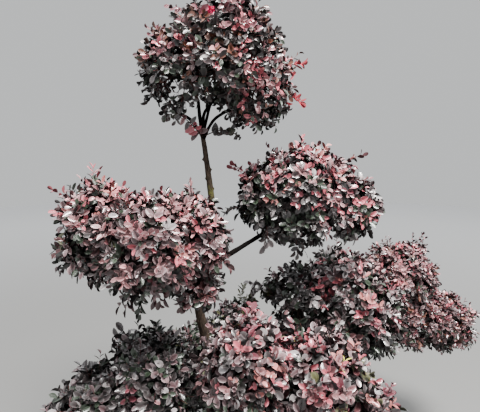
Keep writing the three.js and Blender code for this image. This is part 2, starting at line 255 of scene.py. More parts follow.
def new_group(name, inputs, outputs):
    """An empty node group of number sockets, as (the group, what is given to it, the node that puts out)."""
    group = bpy.data.node_groups.new(name, "ShaderNodeTree")
    for label, value in inputs.items():
        socket = group.interface.new_socket(label, in_out="INPUT", socket_type="NodeSocketFloat")
        socket.default_value = value
    for label in outputs:
        group.interface.new_socket(label, in_out="OUTPUT", socket_type="NodeSocketFloat")
    return group, group.nodes.new("NodeGroupInput").outputs, group.nodes.new("NodeGroupOutput")


def new_material(name):
    """A material, as (the material, its node tree, its shader)."""
    material = bpy.data.materials.new(name)
    material.use_nodes = True
    return material, material.node_tree, material.node_tree.nodes["Principled BSDF"]


def add_bump(tree, shader, height, strength, distance):
    """Bends the shader's normal by the slope of a height."""
    bump = add_node(tree, "Bump", {"Height": height, "Strength": strength, "Distance": distance})
    feed(shader, {"Normal": bump.outputs["Normal"]})


BARK_GRAIN_SIZES = {"Fissure Scale": 600.0, "Patch Scale": 60.0, "Grain Stretch": 0.16}
FISSURE_CONTRAST = (0.36, 0.62)
PATCH_CONTRAST = (0.4, 0.64)
BARK_BUMP_STRENGTH = 0.7


def bark_grain():
    """The node group that gives bark its fissures, its patches and its relief along the grain."""
    group, given, put_out = new_group("bark grain", BARK_GRAIN_SIZES, ("Fissure", "Patch", "Height"))
    place = add_node(group, "Attribute", {}, attribute_name="straight").outputs["Vector"]
    stretch = add_node(group, "CombineXYZ", {"X": 1, "Y": 1, "Z": given["Grain Stretch"]}).outputs["Vector"]
    stretched = add_node(group, "VectorMath", {0: place, 1: stretch}, operation="MULTIPLY").outputs["Vector"]
    fissure = {"Vector": stretched, "Scale": given["Fissure Scale"], "Detail": 5, "Roughness": 0.62}
    patch = {"Vector": place, "Scale": given["Patch Scale"], "Detail": 3}
    fissure, patch = (add_node(group, "TexNoise", noise).outputs["Fac"] for noise in (fissure, patch))
    fissure = share_between(group, fissure, *FISSURE_CONTRAST)
    patch = share_between(group, patch, *PATCH_CONTRAST)
    feed(put_out, {"Fissure": fissure, "Patch": patch, "Height": fissure})
    return group


def height_band():
    """The node group that is one between two heights of the object's own space and fades out beyond them."""
    group, given, put_out = new_group("height band", {"Low": 0.0, "High": 0.0, "Edge": 0.0}, ["Mask"])
    place = add_node(group, "TexCoord", {}).outputs["Object"]
    height = add_node(group, "SeparateXYZ", {"Vector": place}).outputs["Z"]
    sides = []
    for near, operation in (("Low", "SUBTRACT"), ("High", "ADD")):
        far = sum_of(group, operation, given[near], given["Edge"])
        sides.append(share_between(group, height, far, given[near], "SMOOTHSTEP"))
    feed(put_out, {"Mask": sum_of(group, "MULTIPLY", *sides)})
    return group


BARK_GRAIN, HEIGHT_BAND = bark_grain(), height_band()


def bark_material(name, tones, roughness, shine, scales, bump_depth, patches):
    """Bark of three tones: dark in its fissures, light on its ridges, with patches of the third. scales are
    those of the fissures and the patches, and patches is how strongly they cover or the band of heights that
    they keep to."""
    dark, light, patch_tone = tones
    material, tree, shader = new_material(name)
    scales = dict(zip(("Fissure Scale", "Patch Scale"), scales))
    grain = add_node(tree, "Group", scales, node_tree=BARK_GRAIN).outputs
    if isinstance(patches, dict):
        patches = add_node(tree, "Group", patches, node_tree=HEIGHT_BAND).outputs["Mask"]
    cover = sum_of(tree, "MULTIPLY", grain["Patch"], patches)
    ridges = blended(tree, grain["Fissure"], dark, light)
    feed(shader, {"Base Color": blended(tree, cover, ridges, patch_tone)})
    feed(shader, {"Roughness": roughness, "Specular IOR Level": shine})
    add_bump(tree, shader, grain["Height"], BARK_BUMP_STRENGTH, bump_depth)
    return material


TRUNK_TONES = (colour(20, 16, 14), colour(64, 53, 44), colour(72, 71, 36))
TRUNK_BARK = bark_material("trunk bark", TRUNK_TONES, 0.8, 0.15, (420, 70), 0.5 * MM, MOSS_BAND)


def trunk_radius(along_height, turn):
    """The trunk's radius: a shaft that thins as a power of the height left, and a buttressed flare that dies
    away upwards by the exponential of the height."""
    above = np.maximum(along_height, 0)
    left = np.maximum(0, 1 - above / TRUNK_SPINE[-1, 2])
    shaft = TRUNK_FORK_RADIUS + (TRUNK_FOOT_RADIUS - TRUNK_FORK_RADIUS) * left**TRUNK_TAPER_POWER
    buttress = 1 + FLARE_DEPTH * np.cos(FLARE_BUTTRESSES * turn)
    return shaft + FLARE_SPREAD * np.exp(-above / FLARE_HEIGHT) * buttress


def make_trunk(rings=520, sides=40):
    """The trunk's skin: its radius with bark relief, and a rounded stub wherever a shoot was cut off. The
    lowest ring is moved onto the ground, so that the cut is flat."""
    spine, turn = smooth_path(TRUNK_SPINE, rings), even_turns(sides)[None]
    height = spine[:, 2:]
    radii = fissured(trunk_radius(height, turn), turn, height, TRUNK_RELIEF)
    for at, facing, size in STUBS:
        aside = np.angle(np.exp(1j * (turn - facing)))
        bulge = np.exp(-(((height - at) / STUB_HALF_LENGTH) ** 2) - (aside / STUB_HALF_TURN) ** 2)
        radii = radii + size * bulge
    corners, faces, straight = tube_surface(spine[None], radii[None], sides)
    corners[:sides, 2] = 0
    dress("trunk_bark", corners, faces, [TRUNK_BARK], ["trunk"], straight)


make_trunk()

# The boughs: limbs that leave the trunk with a swollen collar and taper to where they enter a cushion of
# foliage, and five thinner ones that fan out from the fork. Their bark is painted near black, far darker
# than the trunk's, as the shade they lie in under and inside the cushions.
# A bough is the height where it leaves the trunk, its radii at root and tip, and points on its way.
BOUGHS = {
    "bough_right": (955, (9, 6), ([34, 38, 1000], [126, 76, 1048], [196, 102, 1086])),
    "bough_left": (930, (9, 6.5), ([-92, -52, 968], [-150, -118, 1008])),
    "bough_low_front": (330, (12, 8), ([34, -58, 430], [96, -118, 545])),
    "bough_low_left": (250, (12, 8), ([-92, -22, 315], [-196, -44, 425], [-226, -48, 480])),
    "bough_low_rear": (390, (10, 7), ([-26, 74, 430], [-48, 128, 478])),
    "bough_low_right": (190, (13, 8), ([90, 70, 330], [240, 186, 520], [330, 236, 640])),
    "bough_far_right": (120, (15, 8), ([180, 90, 235], [460, 290, 420], [690, 430, 640], [722, 446, 690])),
    "fork_left": (1372, (5.2, 4), ([-89, -4, 1420], [-128, -8, 1442], [-152, -12, 1468])),
    "fork_centre": (1378, (6, 4.8), ([-60, 2, 1424], [-64, 4, 1472])),
    "fork_right": (1374, (5.4, 4.2), ([-47, 2, 1436], [-26, 4, 1466], [-2, 6, 1492])),
    "fork_low_right": (1364, (5, 4), ([-17, -8, 1418], [22, -16, 1444], [58, -14, 1466])),
    "fork_rear": (1370, (5, 4), ([-42, 34, 1424], [-30, 62, 1480])),
}
COLLAR_SWELL = 0.55
COLLAR_LENGTH = 2.2
KNOT_SWELL = 0.06
KNOT_WAVES = (95, 41)
BOUGH_RELIEF = (0.035, 0.1 * MM)
RING_STEP = 2.6 * MM
# Near-black tones: painted shade for the boughs' run under and inside the cushions.
BOUGH_SHADE_TONES = (colour(4, 3, 3), colour(14, 11, 10), colour(10, 8, 8))
BOUGH_BARK = bark_material("shaded bough bark", BOUGH_SHADE_TONES, 0.9, 0.03, (480, 60), 0.4 * MM, 0.5)


def trunk_point(height):
    """The point of the trunk's drawn path at a height, between its two neighbours in a straight line."""
    return np.array([np.interp(height, TRUNK_SPINE[:, 2], TRUNK_SPINE[:, k]) for k in range(3)])


def make_bough(name, leaves_at, radii, points, sides=24):
    """One bough's skin: the radius runs evenly from root to tip, swells into a collar over the first two
    radii of its length, and carries knots and bark relief. Returns the spine: the twigs go on from it."""
    path = np.concatenate([[trunk_point(leaves_at * MM)], MM * np.array(points, float)])
    rings = int(np.linalg.norm(np.diff(path, axis=0), axis=1).sum() / RING_STEP)
    spine = smooth_path(path, rings)
    root, tip = MM * np.array(radii)
    share = np.linspace(0, 1, rings)[:, None]
    along = path_lengths(spine[None])[0][:, None]
    turn = even_turns(sides)[None]
    plain = (root + (tip - root) * share) * (1 + COLLAR_SWELL * np.exp(-along / (COLLAR_LENGTH * root)))
    short, long = KNOT_WAVES
    knots = KNOT_SWELL * plain * np.sin(along * short + leaves_at) * np.sin(along * long)
    skin = fissured(plain + knots, turn, along, BOUGH_RELIEF[0] * root + BOUGH_RELIEF[1])
    corners, faces, straight = tube_surface(spine[None], skin[None], sides)
    dress(name + "_bark", corners, faces, [BOUGH_BARK], [name], straight)
    return spine


bough_spines = {name: make_bough(name, *sizes) for name, sizes in BOUGHS.items()}

# The cushions of foliage, as twigs: from each bough's tip a stem runs to the heart of each lobe, branches
# fan out evenly from there, each splits into finer ones, and the finest carry the leaves out to the
# clipped outline. The wood is brown, and reddish on the shoots.
GOLDEN_ANGLE = math.pi * (3 - math.sqrt(5))
SPACE_GAP = 0.05
SPACE_LIMIT = 1.25
CLEAR_OF_LOBES = 0.93
STEM_BEND = (-0.05, 0.06)
HEIGHT_WEIGHT = 0.6
FEWEST_ENDS = 3
BRANCH_SPACING = 150 * MM
BRANCH_REACH = (0.58, 0.7)
BRANCH_BEND = (0.04, 0.06)
TWIG_GROWTH = {
    "spacing": 78 * MM,
    "reach": (0.68, 0.9),
    "leaves_from": (0.35, 0.95),
    "bend": (0.06, 0.08),
    "clear": CLEAR_OF_LOBES,
}
SHOOT_GROWTH = {"reach": (0.92, 1.06), "leaves_from": (0.5, 1.0), "bend": (0.1, 0.12), "clear": 0.84}
SHOOT_SPACING_SHARE = 0.82
GATHER = 0.22
CREASE_DEPTH = 0.24
FURTHEST_ASIDE = 1.4
SHORTEST_TUFT = 0.95
TUFT_SPREAD = 0.1
UNDERSIDE_POWER = 0.7
LOBE_SALT_STEP = 1.7
RUNAWAY_SHARE = 0.045
RUNAWAY_GROWTH = (16 * MM, 40 * MM)
RUNAWAY_ABOVE = 0.2
RUNAWAY_LIFT = 0.7
RUNAWAY_SWAY = 0.5
RUNAWAY_BEND = 1.5
STRAY_SHOOTS = 3
STRAY_SPREAD = 20 * MM
STRAY_STEP_BACK = 0.4
STRAY_ROOT = 0.55
STRAY_BEND = (0.2, 0.1)
# A lobe is its centre and its half-widths along X, Y and Z. A stray is the tip of a shoot that stands out of
# the outline, and its leaves' tint. leaf is the length of a long leaf, and thinning how many shoots the
# underside lacks for want of light.
MASSES = {
    "foliage_top": {
        "lobes": (
            [10, 20, 1634, 164, 172, 142], [-100, 0, 1562, 138, 138, 128],
            [102, 0, 1526, 116, 124, 150], [10, -64, 1556, 128, 122, 94],
            [0, 78, 1562, 140, 122, 104],
        ),
        "strays": (
            ([238, -12, 1580], "coral red"), ([240, -8, 1466], "coral red"),
            ([-222, -8, 1597], "bronze"), ([-157, -30, 1432], "plum black"),
            ([-128, -30, 1414], "plum black"), ([-205, -30, 1474], "painted shade plum"),
            ([-132, -50, 1722], "wine"), ([136, -50, 1472], "painted shade plum"),
        ),
        "leaf": 27,
        "thinning": 0.6,
        "boughs": ("fork_centre", "fork_left", "fork_low_right", "fork_right", "fork_rear"),
    },
    "foliage_left": {
        "lobes": (
            [-186, -160, 1076, 159, 159, 150], [-338, -120, 1100, 122, 126, 160],
            [-74, -140, 1084, 100, 100, 132], [-70, -130, 950, 82, 62, 78],
        ),
        "strays": (
            ([-455, -130, 1222], "rose"), ([-342, -130, 1284], "rose"),
            ([-214, -180, 884], "deep green"), ([-256, -184, 892], "oxblood"),
            ([-159, -170, 908], "oxblood"), ([-103, -150, 894], "oxblood"),
            ([-43, -170, 1013], "oxblood"), ([-70, -225, 1078], "dusty rose"),
            ([-74, -140, 1240], "dusty rose"), ([-446, -120, 990], "dusk plum"),
            ([26, -150, 1112], "dusk plum"), ([30, -150, 1010], "oxblood"),
        ),
        "leaf": 29,
        "thinning": 0.15,
        "boughs": ("bough_left",),
    },
    "foliage_right": {
        "lobes": (
            [268, 120, 1196, 160, 160, 154], [156, 100, 1166, 98, 104, 122],
            [414, 120, 1138, 120, 120, 124], [270, 102, 1092, 126, 126, 84],
        ),
        "strays": (
            ([262, 112, 1362], "rose"), ([462, 110, 1310], "wine"), ([41, 60, 1281], "rose"),
            ([18, 84, 1126], "plum black"), ([136, 30, 1026], "plum black"),
            ([249, 60, 991], "plum black"),
        ),
        "leaf": 31,
        "thinning": 0.4,
        "boughs": ("bough_right",),
    },
    "foliage_low_front": {
        "lobes": (
            [80, -170, 690, 140, 136, 194], [292, -130, 598, 178, 172, 208],
            [448, -108, 496, 110, 110, 140],
        ),
        "strays": (([92, -196, 905], "wine"),),
        "leaf": 33,
        "thinning": 0.3,
        "boughs": ("bough_low_front",),
    },
    "foliage_low_left": {
        "lobes": (
            [-222, -52, 590, 160, 156, 192], [-378, -84, 504, 150, 142, 166],
            [-500, -120, 430, 112, 104, 132],
        ),
        "strays": (([-300, -60, 776], "plum black"),),
        "leaf": 34,
        "thinning": 0.3,
        "boughs": ("bough_low_left",),
    },
    "foliage_low_rear": {
        "lobes": (
            [-66, 176, 540, 146, 132, 170], [56, 236, 628, 112, 112, 130],
        ),
        "strays": (
            ([71, 236, 811], "olive"), ([112, 236, 818], "sheen silver"), ([98, 220, 774], "olive"),
            ([45, 220, 768], "deep green"),
        ),
        "leaf": 27,
        "thinning": 0.4,
        "boughs": ("bough_low_rear",),
    },
    "foliage_low_right": {
        "lobes": (
            [512, 260, 704, 176, 174, 190], [276, 258, 742, 134, 132, 160],
            [452, 322, 814, 140, 140, 126],
        ),
        "strays": (([150, 250, 800], "olive"), ([100, 250, 826], "sheen silver")),
        "leaf": 33,
        "thinning": 0.3,
        "boughs": ("bough_low_right",),
    },
    "foliage_far_right": {
        "lobes": (
            [745, 464, 784, 162, 160, 160], [809, 450, 617, 152, 145, 152],
            [937, 440, 590, 131, 130, 131],
        ),
        "strays": (([832, 460, 966], "wine"),),
        "leaf": 24,
        "thinning": 0.2,
        "boughs": ("bough_far_right",),
    },
}
# Open spots, where the limbs show through: each a centre and its half-widths.
OPEN_SPOTS = {
    "foliage_top": ([-44, 0, 1460, 64, 220, 56], [-115, 0, 1500, 80, 240, 52], [-60, 0, 1512, 62, 220, 40]),
    "foliage_left": ([-478, -120, 1110, 34, 260, 70],),
    "foliage_low_right": ([200, 200, 705, 100, 320, 80],),
    "foliage_low_left": ([-520, -84, 610, 60, 260, 60],),
}
# Spots where only the leaves are missing, not the shoots.
LEAFLESS_SPOTS = {
    "foliage_left": ([-450, -210, 1125, 46, 90, 60], [-480, -120, 1125, 44, 90, 60]),
    "foliage_right": ([363, 90, 1035, 40, 220, 36], [259, 90, 1048, 26, 220, 22]),
}
LOBES = {name: MM * np.array(mass["lobes"], float) for name, mass in MASSES.items()}


def lobe_shares(points, lobes):
    """How far each point is from each lobe's centre, as a share of the lobe's half-widths."""
    return np.linalg.norm((points[:, None] - lobes[None, :, :3]) / lobes[None, :, 3:], axis=2)


def in_own_space(points, name, limit):
    """Whether a point is near its own mass's lobes and nearer to them than to any other mass's."""
    own = lobe_shares(points, LOBES[name]).min(axis=1)
    others = np.concatenate([lobes for other, lobes in LOBES.items() if other != name])
    return (own < limit) & (lobe_shares(points, others).min(axis=1) > own + SPACE_GAP)


def within(limits, shares):
    """The values that lie the given shares of the way from the first limit to the second."""
    return limits[0] + (limits[1] - limits[0]) * shares


def jitter(number, salt, steps):
    """A small fixed vector for each number: three chances, each from -0.5 to 0.5."""
    return np.stack([chance(number, salt + step) for step in steps], axis=1) - 0.5


def spread_directions(count, salt):
    """Evenly spread directions on a ball: equal steps of height, each turned on by the golden angle."""
    i = np.arange(count)
    height = 1 - (2 * i + 1) / count
    ring = np.sqrt(1 - height**2)
    turn = i * GOLDEN_ANGLE + salt
    return np.stack([np.cos(turn) * ring, np.sin(turn) * ring, height], axis=1)


def bowed(starts, ends, rise, sway, salt, points=4):
    """Curves from starts to ends: a quadratic bend whose middle is lifted by rise and pushed sideways by up
    to sway, both as shares of the length."""
    chord = ends - starts
    length = np.linalg.norm(chord, axis=1, keepdims=True)
    sideways = unit(np.stack([-chord[:, 1], chord[:, 0], 0 * chord[:, 0]], axis=1))
    push = sway * (2 * chance(np.arange(len(starts)), salt)[:, None] - 1)
    middle = (starts + ends) / 2 + length * (np.array([[0, 0, rise]]) + sideways * push)
    t = np.linspace(0, 1, points)[None, :, None]
    return (1 - t) ** 2 * starts[:, None] + 2 * t * (1 - t) * middle[:, None] + t**2 * ends[:, None]


def on_curves(curves, which, shares):
    """Places at a share of the way along the curves named by which, in a straight line between two points of
    the curve, and the curve's direction there."""
    place = shares * (curves.shape[1] - 1)
    low = np.minimum(np.floor(place).astype(int), curves.shape[1] - 2)
    part = (place - low)[:, None]
    before, after = curves[which, low], curves[which, low + 1]
    return before * (1 - part) + after * part, unit(after - before)


def spread_ends(lobe, name, spacing, reach, salt, clear=CLEAR_OF_LOBES):
    """Ends spread evenly over a lobe: directions with some jitter, and shares of the lobe's half-widths.
    Ends inside another lobe of the same mass, or in another mass's space, are left out."""
    hub, half = lobe[:3], lobe[3:]
    count = max(FEWEST_ENDS, round(4 * math.pi * half.mean() ** 2 / spacing**2))
    i = np.arange(count)
    directions = unit(spread_directions(count, salt) + jitter(i, salt, (0.1, 0.2, 0.3)) / math.sqrt(count))
    shares = within(reach, chance(i, salt))
    tips = hub + directions * half * shares[:, None]
    others = np.array([other for other in LOBES[name] if not np.array_equal(other, lobe)])
    kept = (lobe_shares(tips, others).min(axis=1) > shares * clear) & in_own_space(tips, name, SPACE_LIMIT)
    return directions[kept], shares[kept]


def offshoots(lobe, name, parents, salt, spacing, reach, leaves_from, bend, clear):
    """The next finer branches of a lobe, each from the parent whose end lies nearest in direction.

    They gather towards that parent's end, and reach less far the further aside of it they point, so that
    each parent's offspring make a tuft of their own: share = reach * (1 - crease depth * aside^2), where
    aside is the angle from the parent's end over half the angle between neighbouring parents.
    """
    hub, half = lobe[:3], lobe[3:]
    directions, shares = spread_ends(lobe, name, spacing, reach, salt, clear)
    leading = unit((parents[:, -1] - hub) / half)
    nearest = (leading @ directions.T).argmax(axis=0)
    aside = directions - leading[nearest]
    aside_share = np.linalg.norm(aside, axis=1) / math.sqrt(4 / len(parents))
    directions = unit(directions - GATHER * aside)
    shares = shares * (1 - CREASE_DEPTH * np.minimum(aside_share, FURTHEST_ASIDE) ** 2)
    shares = shares * (SHORTEST_TUFT + TUFT_SPREAD * chance(nearest, salt))
    tips = hub + directions * half * shares[:, None]
    leaves_at = within(leaves_from, chance(np.arange(len(tips)), salt + 0.4))
    starts, _ = on_curves(parents, nearest, leaves_at)
    return bowed(starts, tips, *bend, salt + 0.6)


def openness(points, spots):
    """How bare a mass stays round each point: one in the middle of an open spot, falling off by the
    exponential of the square of the distance as a share of the spot's half-widths."""
    bare = np.zeros(len(points))
    for spot in spots:
        share = np.linalg.norm((points - MM * np.array(spot[:3])) / (MM * np.array(spot[3:])), axis=1)
        bare = np.maximum(bare, np.exp(-(share**2)))
    return bare


def thinned(shoots, name, hub, salt):
    """The shoots that live: fewer towards the underside, where less light falls, and in the open spots."""
    underside = np.maximum(0, -unit(shoots[:, -1] - hub)[:, 2])
    lost = MASSES[name]["thinning"] * underside**UNDERSIDE_POWER
    lost = np.maximum(lost, openness(shoots[:, -1], OPEN_SPOTS.get(name, ())))
    return shoots[chance(np.arange(len(shoots)), salt + 2.1) >= lost]


def run_away(shoots, hub, salt):
    """Lets a few shoots of the upper side grow on past the clipped outline, outwards and up."""
    outward = unit(shoots[:, -1] - hub)
    i = np.arange(len(shoots))
    growth = within(RUNAWAY_GROWTH, chance(i, salt + 2.2))
    growth = growth * (chance(i, salt + 2.7) < RUNAWAY_SHARE) * (outward[:, 2] > RUNAWAY_ABOVE)
    sway = RUNAWAY_SWAY * jitter(i, salt, (2.4, 2.5, 2.6))
    aim = unit(outward + np.array([0, 0, RUNAWAY_LIFT]) + sway)
    bend = np.linspace(0, 1, shoots.shape[1])[None, :, None] ** RUNAWAY_BEND
    return shoots + bend * (aim * growth[:, None])[:, None]


def grow_lobe(lobe, name, salt):
    """The branches, twigs and shoots of one lobe, from its centre out."""
    hub = lobe[:3]
    directions, shares = spread_ends(lobe, name, BRANCH_SPACING, BRANCH_REACH, salt)
    ends = hub + directions * lobe[3:] * shares[:, None]
    branches = bowed(np.repeat(hub[None], len(ends), axis=0), ends, *BRANCH_BEND, salt)
    twigs = offshoots(lobe, name, branches, salt + 0.5, **TWIG_GROWTH)
    spacing = SHOOT_SPACING_SHARE * MASSES[name]["leaf"] * MM
    shoots = offshoots(lobe, name, twigs, salt + 0.9, spacing, **SHOOT_GROWTH)
    return branches, twigs, run_away(thinned(shoots, name, hub, salt), hub, salt)


def grow_stray(tip, lobes, salt):
    """A stray, as a few shoots that arch side by side out of the nearest lobe, and that lobe's centre."""
    home = lobes[lobe_shares(tip[None], lobes)[0].argmin(), :3]
    base = home + (tip - home) * STRAY_ROOT
    aside = STRAY_SPREAD * spread_directions(STRAY_SHOOTS, salt)
    aside[0] = 0
    back = (base - tip) * np.linspace(0, STRAY_STEP_BACK, STRAY_SHOOTS)[:, None]
    bases = np.repeat(base[None], STRAY_SHOOTS, axis=0)
    return bowed(bases, tip + aside + back, *STRAY_BEND, salt), home


def grow(name, salt):
    """All the wood of one mass from coarse to fine, and for each twig and shoot the centre of its lobe."""
    lobes = LOBES[name]
    tips = [bough_spines[bough][-1] for bough in MASSES[name]["boughs"]]
    wood = {part: [] for part in ("stems", "branches", "twigs", "shoots", "twig_hubs", "shoot_hubs")}
    for n, lobe in enumerate(lobes):
        hub = lobe[:3]
        nearest = min(tips, key=lambda tip: np.linalg.norm((tip - hub) * [1, 1, HEIGHT_WEIGHT]))
        tips.append(hub)
        stem = bowed(nearest[None], hub[None], *STEM_BEND, salt + n, points=6)
        levels = (stem, *grow_lobe(lobe, name, salt + n * LOBE_SALT_STEP))
        for part, curves in zip(wood, levels):
            wood[part].append(curves)
        wood["twig_hubs"].append(np.repeat(hub[None], len(levels[2]), axis=0))
        wood["shoot_hubs"].append(np.repeat(hub[None], len(levels[3]), axis=0))
    for n, (tip, _) in enumerate(MASSES[name]["strays"]):
        shoots, hub = grow_stray(MM * np.array(tip, float), lobes, salt + n)
        wood["shoots"].append(shoots)
        wood["shoot_hubs"].append(np.repeat(hub[None], len(shoots), axis=0))
    return {part: np.concatenate(curves) for part, curves in wood.items()}


def tapered(spines, radii):
    """Radii that run evenly from a root radius to a tip radius along every curve."""
    return np.repeat(np.linspace(*radii, spines.shape[1])[None], len(spines), axis=0)


TWIG_TONES = (colour(22, 16, 15), colour(60, 44, 40), colour(70, 52, 46))
TWIG_BARK = bark_material("twig bark", TWIG_TONES, 0.75, 0.15, (900, 200), 0.1 * MM, 0.4)
SHOOT_TONES = (colour(70, 36, 38), colour(120, 70, 68), colour(96, 60, 54))
SHOOT_BARK = bark_material("young shoot bark", SHOOT_TONES, 0.6, 0.15, (1200, 300), 0.05 * MM, 0.4)
# For each level of the wood: its radii at root and tip, the sides of its tubes, and which bark it takes.
WOOD_LEVELS = {
    "stems": ((5.5 * MM, 3.6 * MM), 8, 0),
    "branches": ((3.2 * MM, 1.9 * MM), 6, 0),
    "twigs": ((1.7 * MM, 1.0 * MM), 5, 0),
    "shoots": ((0.85 * MM, 0.45 * MM), 3, 1),
}


def make_twigs(name, wood):
    """One mass's wood: tubes of fewer sides and thinner radii the finer they are, joined in one piece."""
    parts, before = [], 0
    for level, (radii, sides, bark) in WOOD_LEVELS.items():
        corners, faces, straight = tube_surface(wood[level], tapered(wood[level], radii), sides)
        parts.append((corners, faces + before, straight, np.full(len(faces), bark)))
        before += len(corners)
    corners, faces, straight, barks = map(np.concatenate, zip(*parts))
    dress(name + "_twigs", corners, faces, [TWIG_BARK, SHOOT_BARK], [name], straight, barks)


# The leaves: alternate ovals with a blunt tip, folded a little along the midrib and arched downwards. Old
# ones are dark plum with a silvery bloom, partly their dusty hairs and partly painted sheen, and a pale rim
# that is a painted highlight; new ones at the shoots' ends are rose, salmon or wine red. Each shoot is dealt
# its colours whole, more new growth on the sides that face the light, and leaves in the crown's shade are
# dealt near-black tints as painted shade.
# A tint is its colour, its share of pale bloom and painted rim highlight, and its gloss. The pale silver
# grey tint is painted as the sky's sheen on upper faces, and the near-black plum tint is painted shade.
TINTS = {
    "painted shade plum": (colour(18, 15, 15), 0.16, 0.2),
    "plum black": (colour(35, 28, 29), 0.3, 0.7),
    "deep green": (colour(29, 38, 27), 0.15, 0.2),
    "oxblood": (colour(54, 22, 25), 0.25, 0.7),
    "dusk plum": (colour(64, 44, 47), 0.38, 0.5),
    "lilac plum": (colour(90, 66, 69), 0.38, 0.7),
    "sheen silver": (colour(116, 108, 109), 0.38, 0.8),
    "bronze": (colour(78, 41, 30), 0.16, 0.4),
    "olive": (colour(66, 66, 40), 0.15, 0.4),
    "wine": (colour(82, 31, 40), 0.2, 0.7),
    "rose": (colour(148, 68, 78), 0.15, 0.4),
    "dusty rose": (colour(114, 73, 76), 0.3, 0.4),
    "salmon": (colour(158, 92, 89), 0.16, 0.4),
    "pale pink": (colour(166, 106, 110), 0.3, 0.4),
    "coral red": (colour(172, 46, 62), 0.1, 0.3),
    "yellow": (colour(200, 192, 84), 0.1, 0.3),
}
TINT_NAMES = tuple(TINTS)
